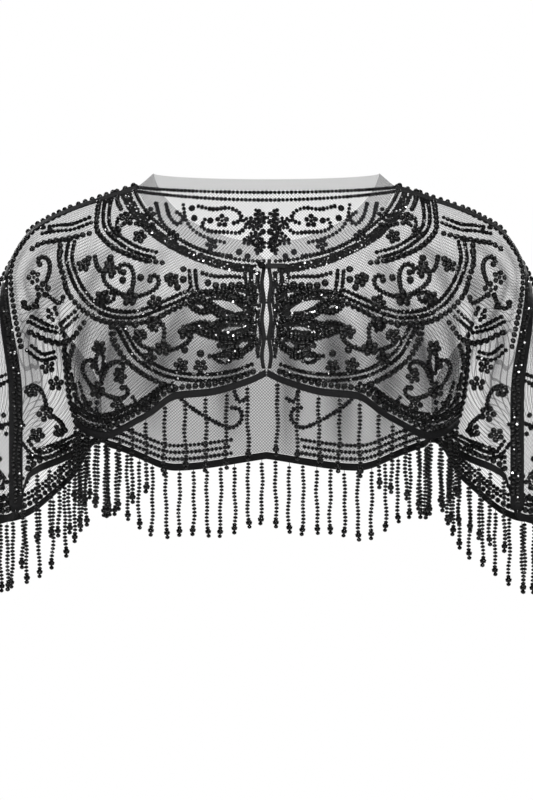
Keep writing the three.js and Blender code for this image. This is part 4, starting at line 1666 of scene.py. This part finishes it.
def camera_white(tree, shader_output, output, white):
    """What the camera sees is plain white, while light and reflections keep the given shader."""
    path = tree.nodes.new("ShaderNodeLightPath")
    mix = tree.nodes.new("ShaderNodeMixShader")
    tree.links.new(path.outputs["Is Camera Ray"], mix.inputs["Fac"])
    tree.links.new(shader_output, mix.inputs[1])
    tree.links.new(white, mix.inputs[2])
    tree.links.new(mix.outputs[0], output)


def add_floor():
    mesh = bpy.data.meshes.new("floor")
    corners = [(-1, -1), (1, -1), (1, 1), (-1, 1)]
    mesh.from_pydata([(x * FLOOR_RADIUS, y * FLOOR_RADIUS, FLOOR_Z) for x, y in corners], [], [(0, 1, 2, 3)])
    material, tree, shader = new_material("pale studio floor")
    shader.inputs["Base Color"].default_value = (0.85, 0.85, 0.85, 1)
    shader.inputs["Roughness"].default_value = 0.9
    glow = tree.nodes.new("ShaderNodeEmission")
    output = tree.nodes["Material Output"].inputs["Surface"]
    camera_white(tree, shader.outputs[0], output, glow.outputs[0])
    floor = add_object("floor", mesh, material)
    floor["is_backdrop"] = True


def add_world():
    world = bpy.data.worlds.new("studio")
    scene.world = world
    world.use_nodes = True
    tree = world.node_tree
    soft = tree.nodes["Background"]
    soft.inputs["Color"].default_value = (1, 1, 1, 1)
    soft.inputs["Strength"].default_value = 0.15
    white = tree.nodes.new("ShaderNodeBackground")
    white.inputs["Color"].default_value = (1, 1, 1, 1)
    white.inputs["Strength"].default_value = 1.0
    camera_white(tree, soft.outputs[0], tree.nodes["World Output"].inputs["Surface"], white.outputs[0])


LIGHTS = table(
    "name place size power",
    ("key", (-0.9, -2.0, 0.95), 0.3, 20), ("fill", (1.4, -1.8, 0.25), 0.45, 9),
    ("top", (0.1, -0.2, 1.5), 0.6, 9), ("back left", (-1.2, 1.5, 0.6), 0.4, 9),
    ("back right", (1.3, 1.3, 0.4), 0.4, 7), ("sparkle", (0.35, -2.3, 0.6), 0.08, 8),
    ("low sparkle", (-0.3, -2.3, -0.5), 0.08, 5),
)
LIGHT_AIM = (0, 0, -0.17)


def add_lights():
    for row in LIGHTS:
        data = bpy.data.lights.new(row["name"], "AREA")
        data.shape = "DISK"
        data.size = row["size"]
        data.energy = row["power"]
        light = bpy.data.objects.new(row["name"], data)
        light.location = row["place"]
        aim = Vector(LIGHT_AIM) - Vector(row["place"])
        light.rotation_euler = aim.to_track_quat("-Z", "Y").to_euler()
        light.visible_camera = False
        scene.collection.objects.link(light)


add_floor()
add_world()
add_lights()
scene.view_settings.view_transform = "Standard"
scene.cycles.transparent_max_bounces = 24

boxes = {"cad": CAD_BOX, "visual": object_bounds()}
{name: [list(map(float, corner)) for corner in box] for name, box in boxes.items()}
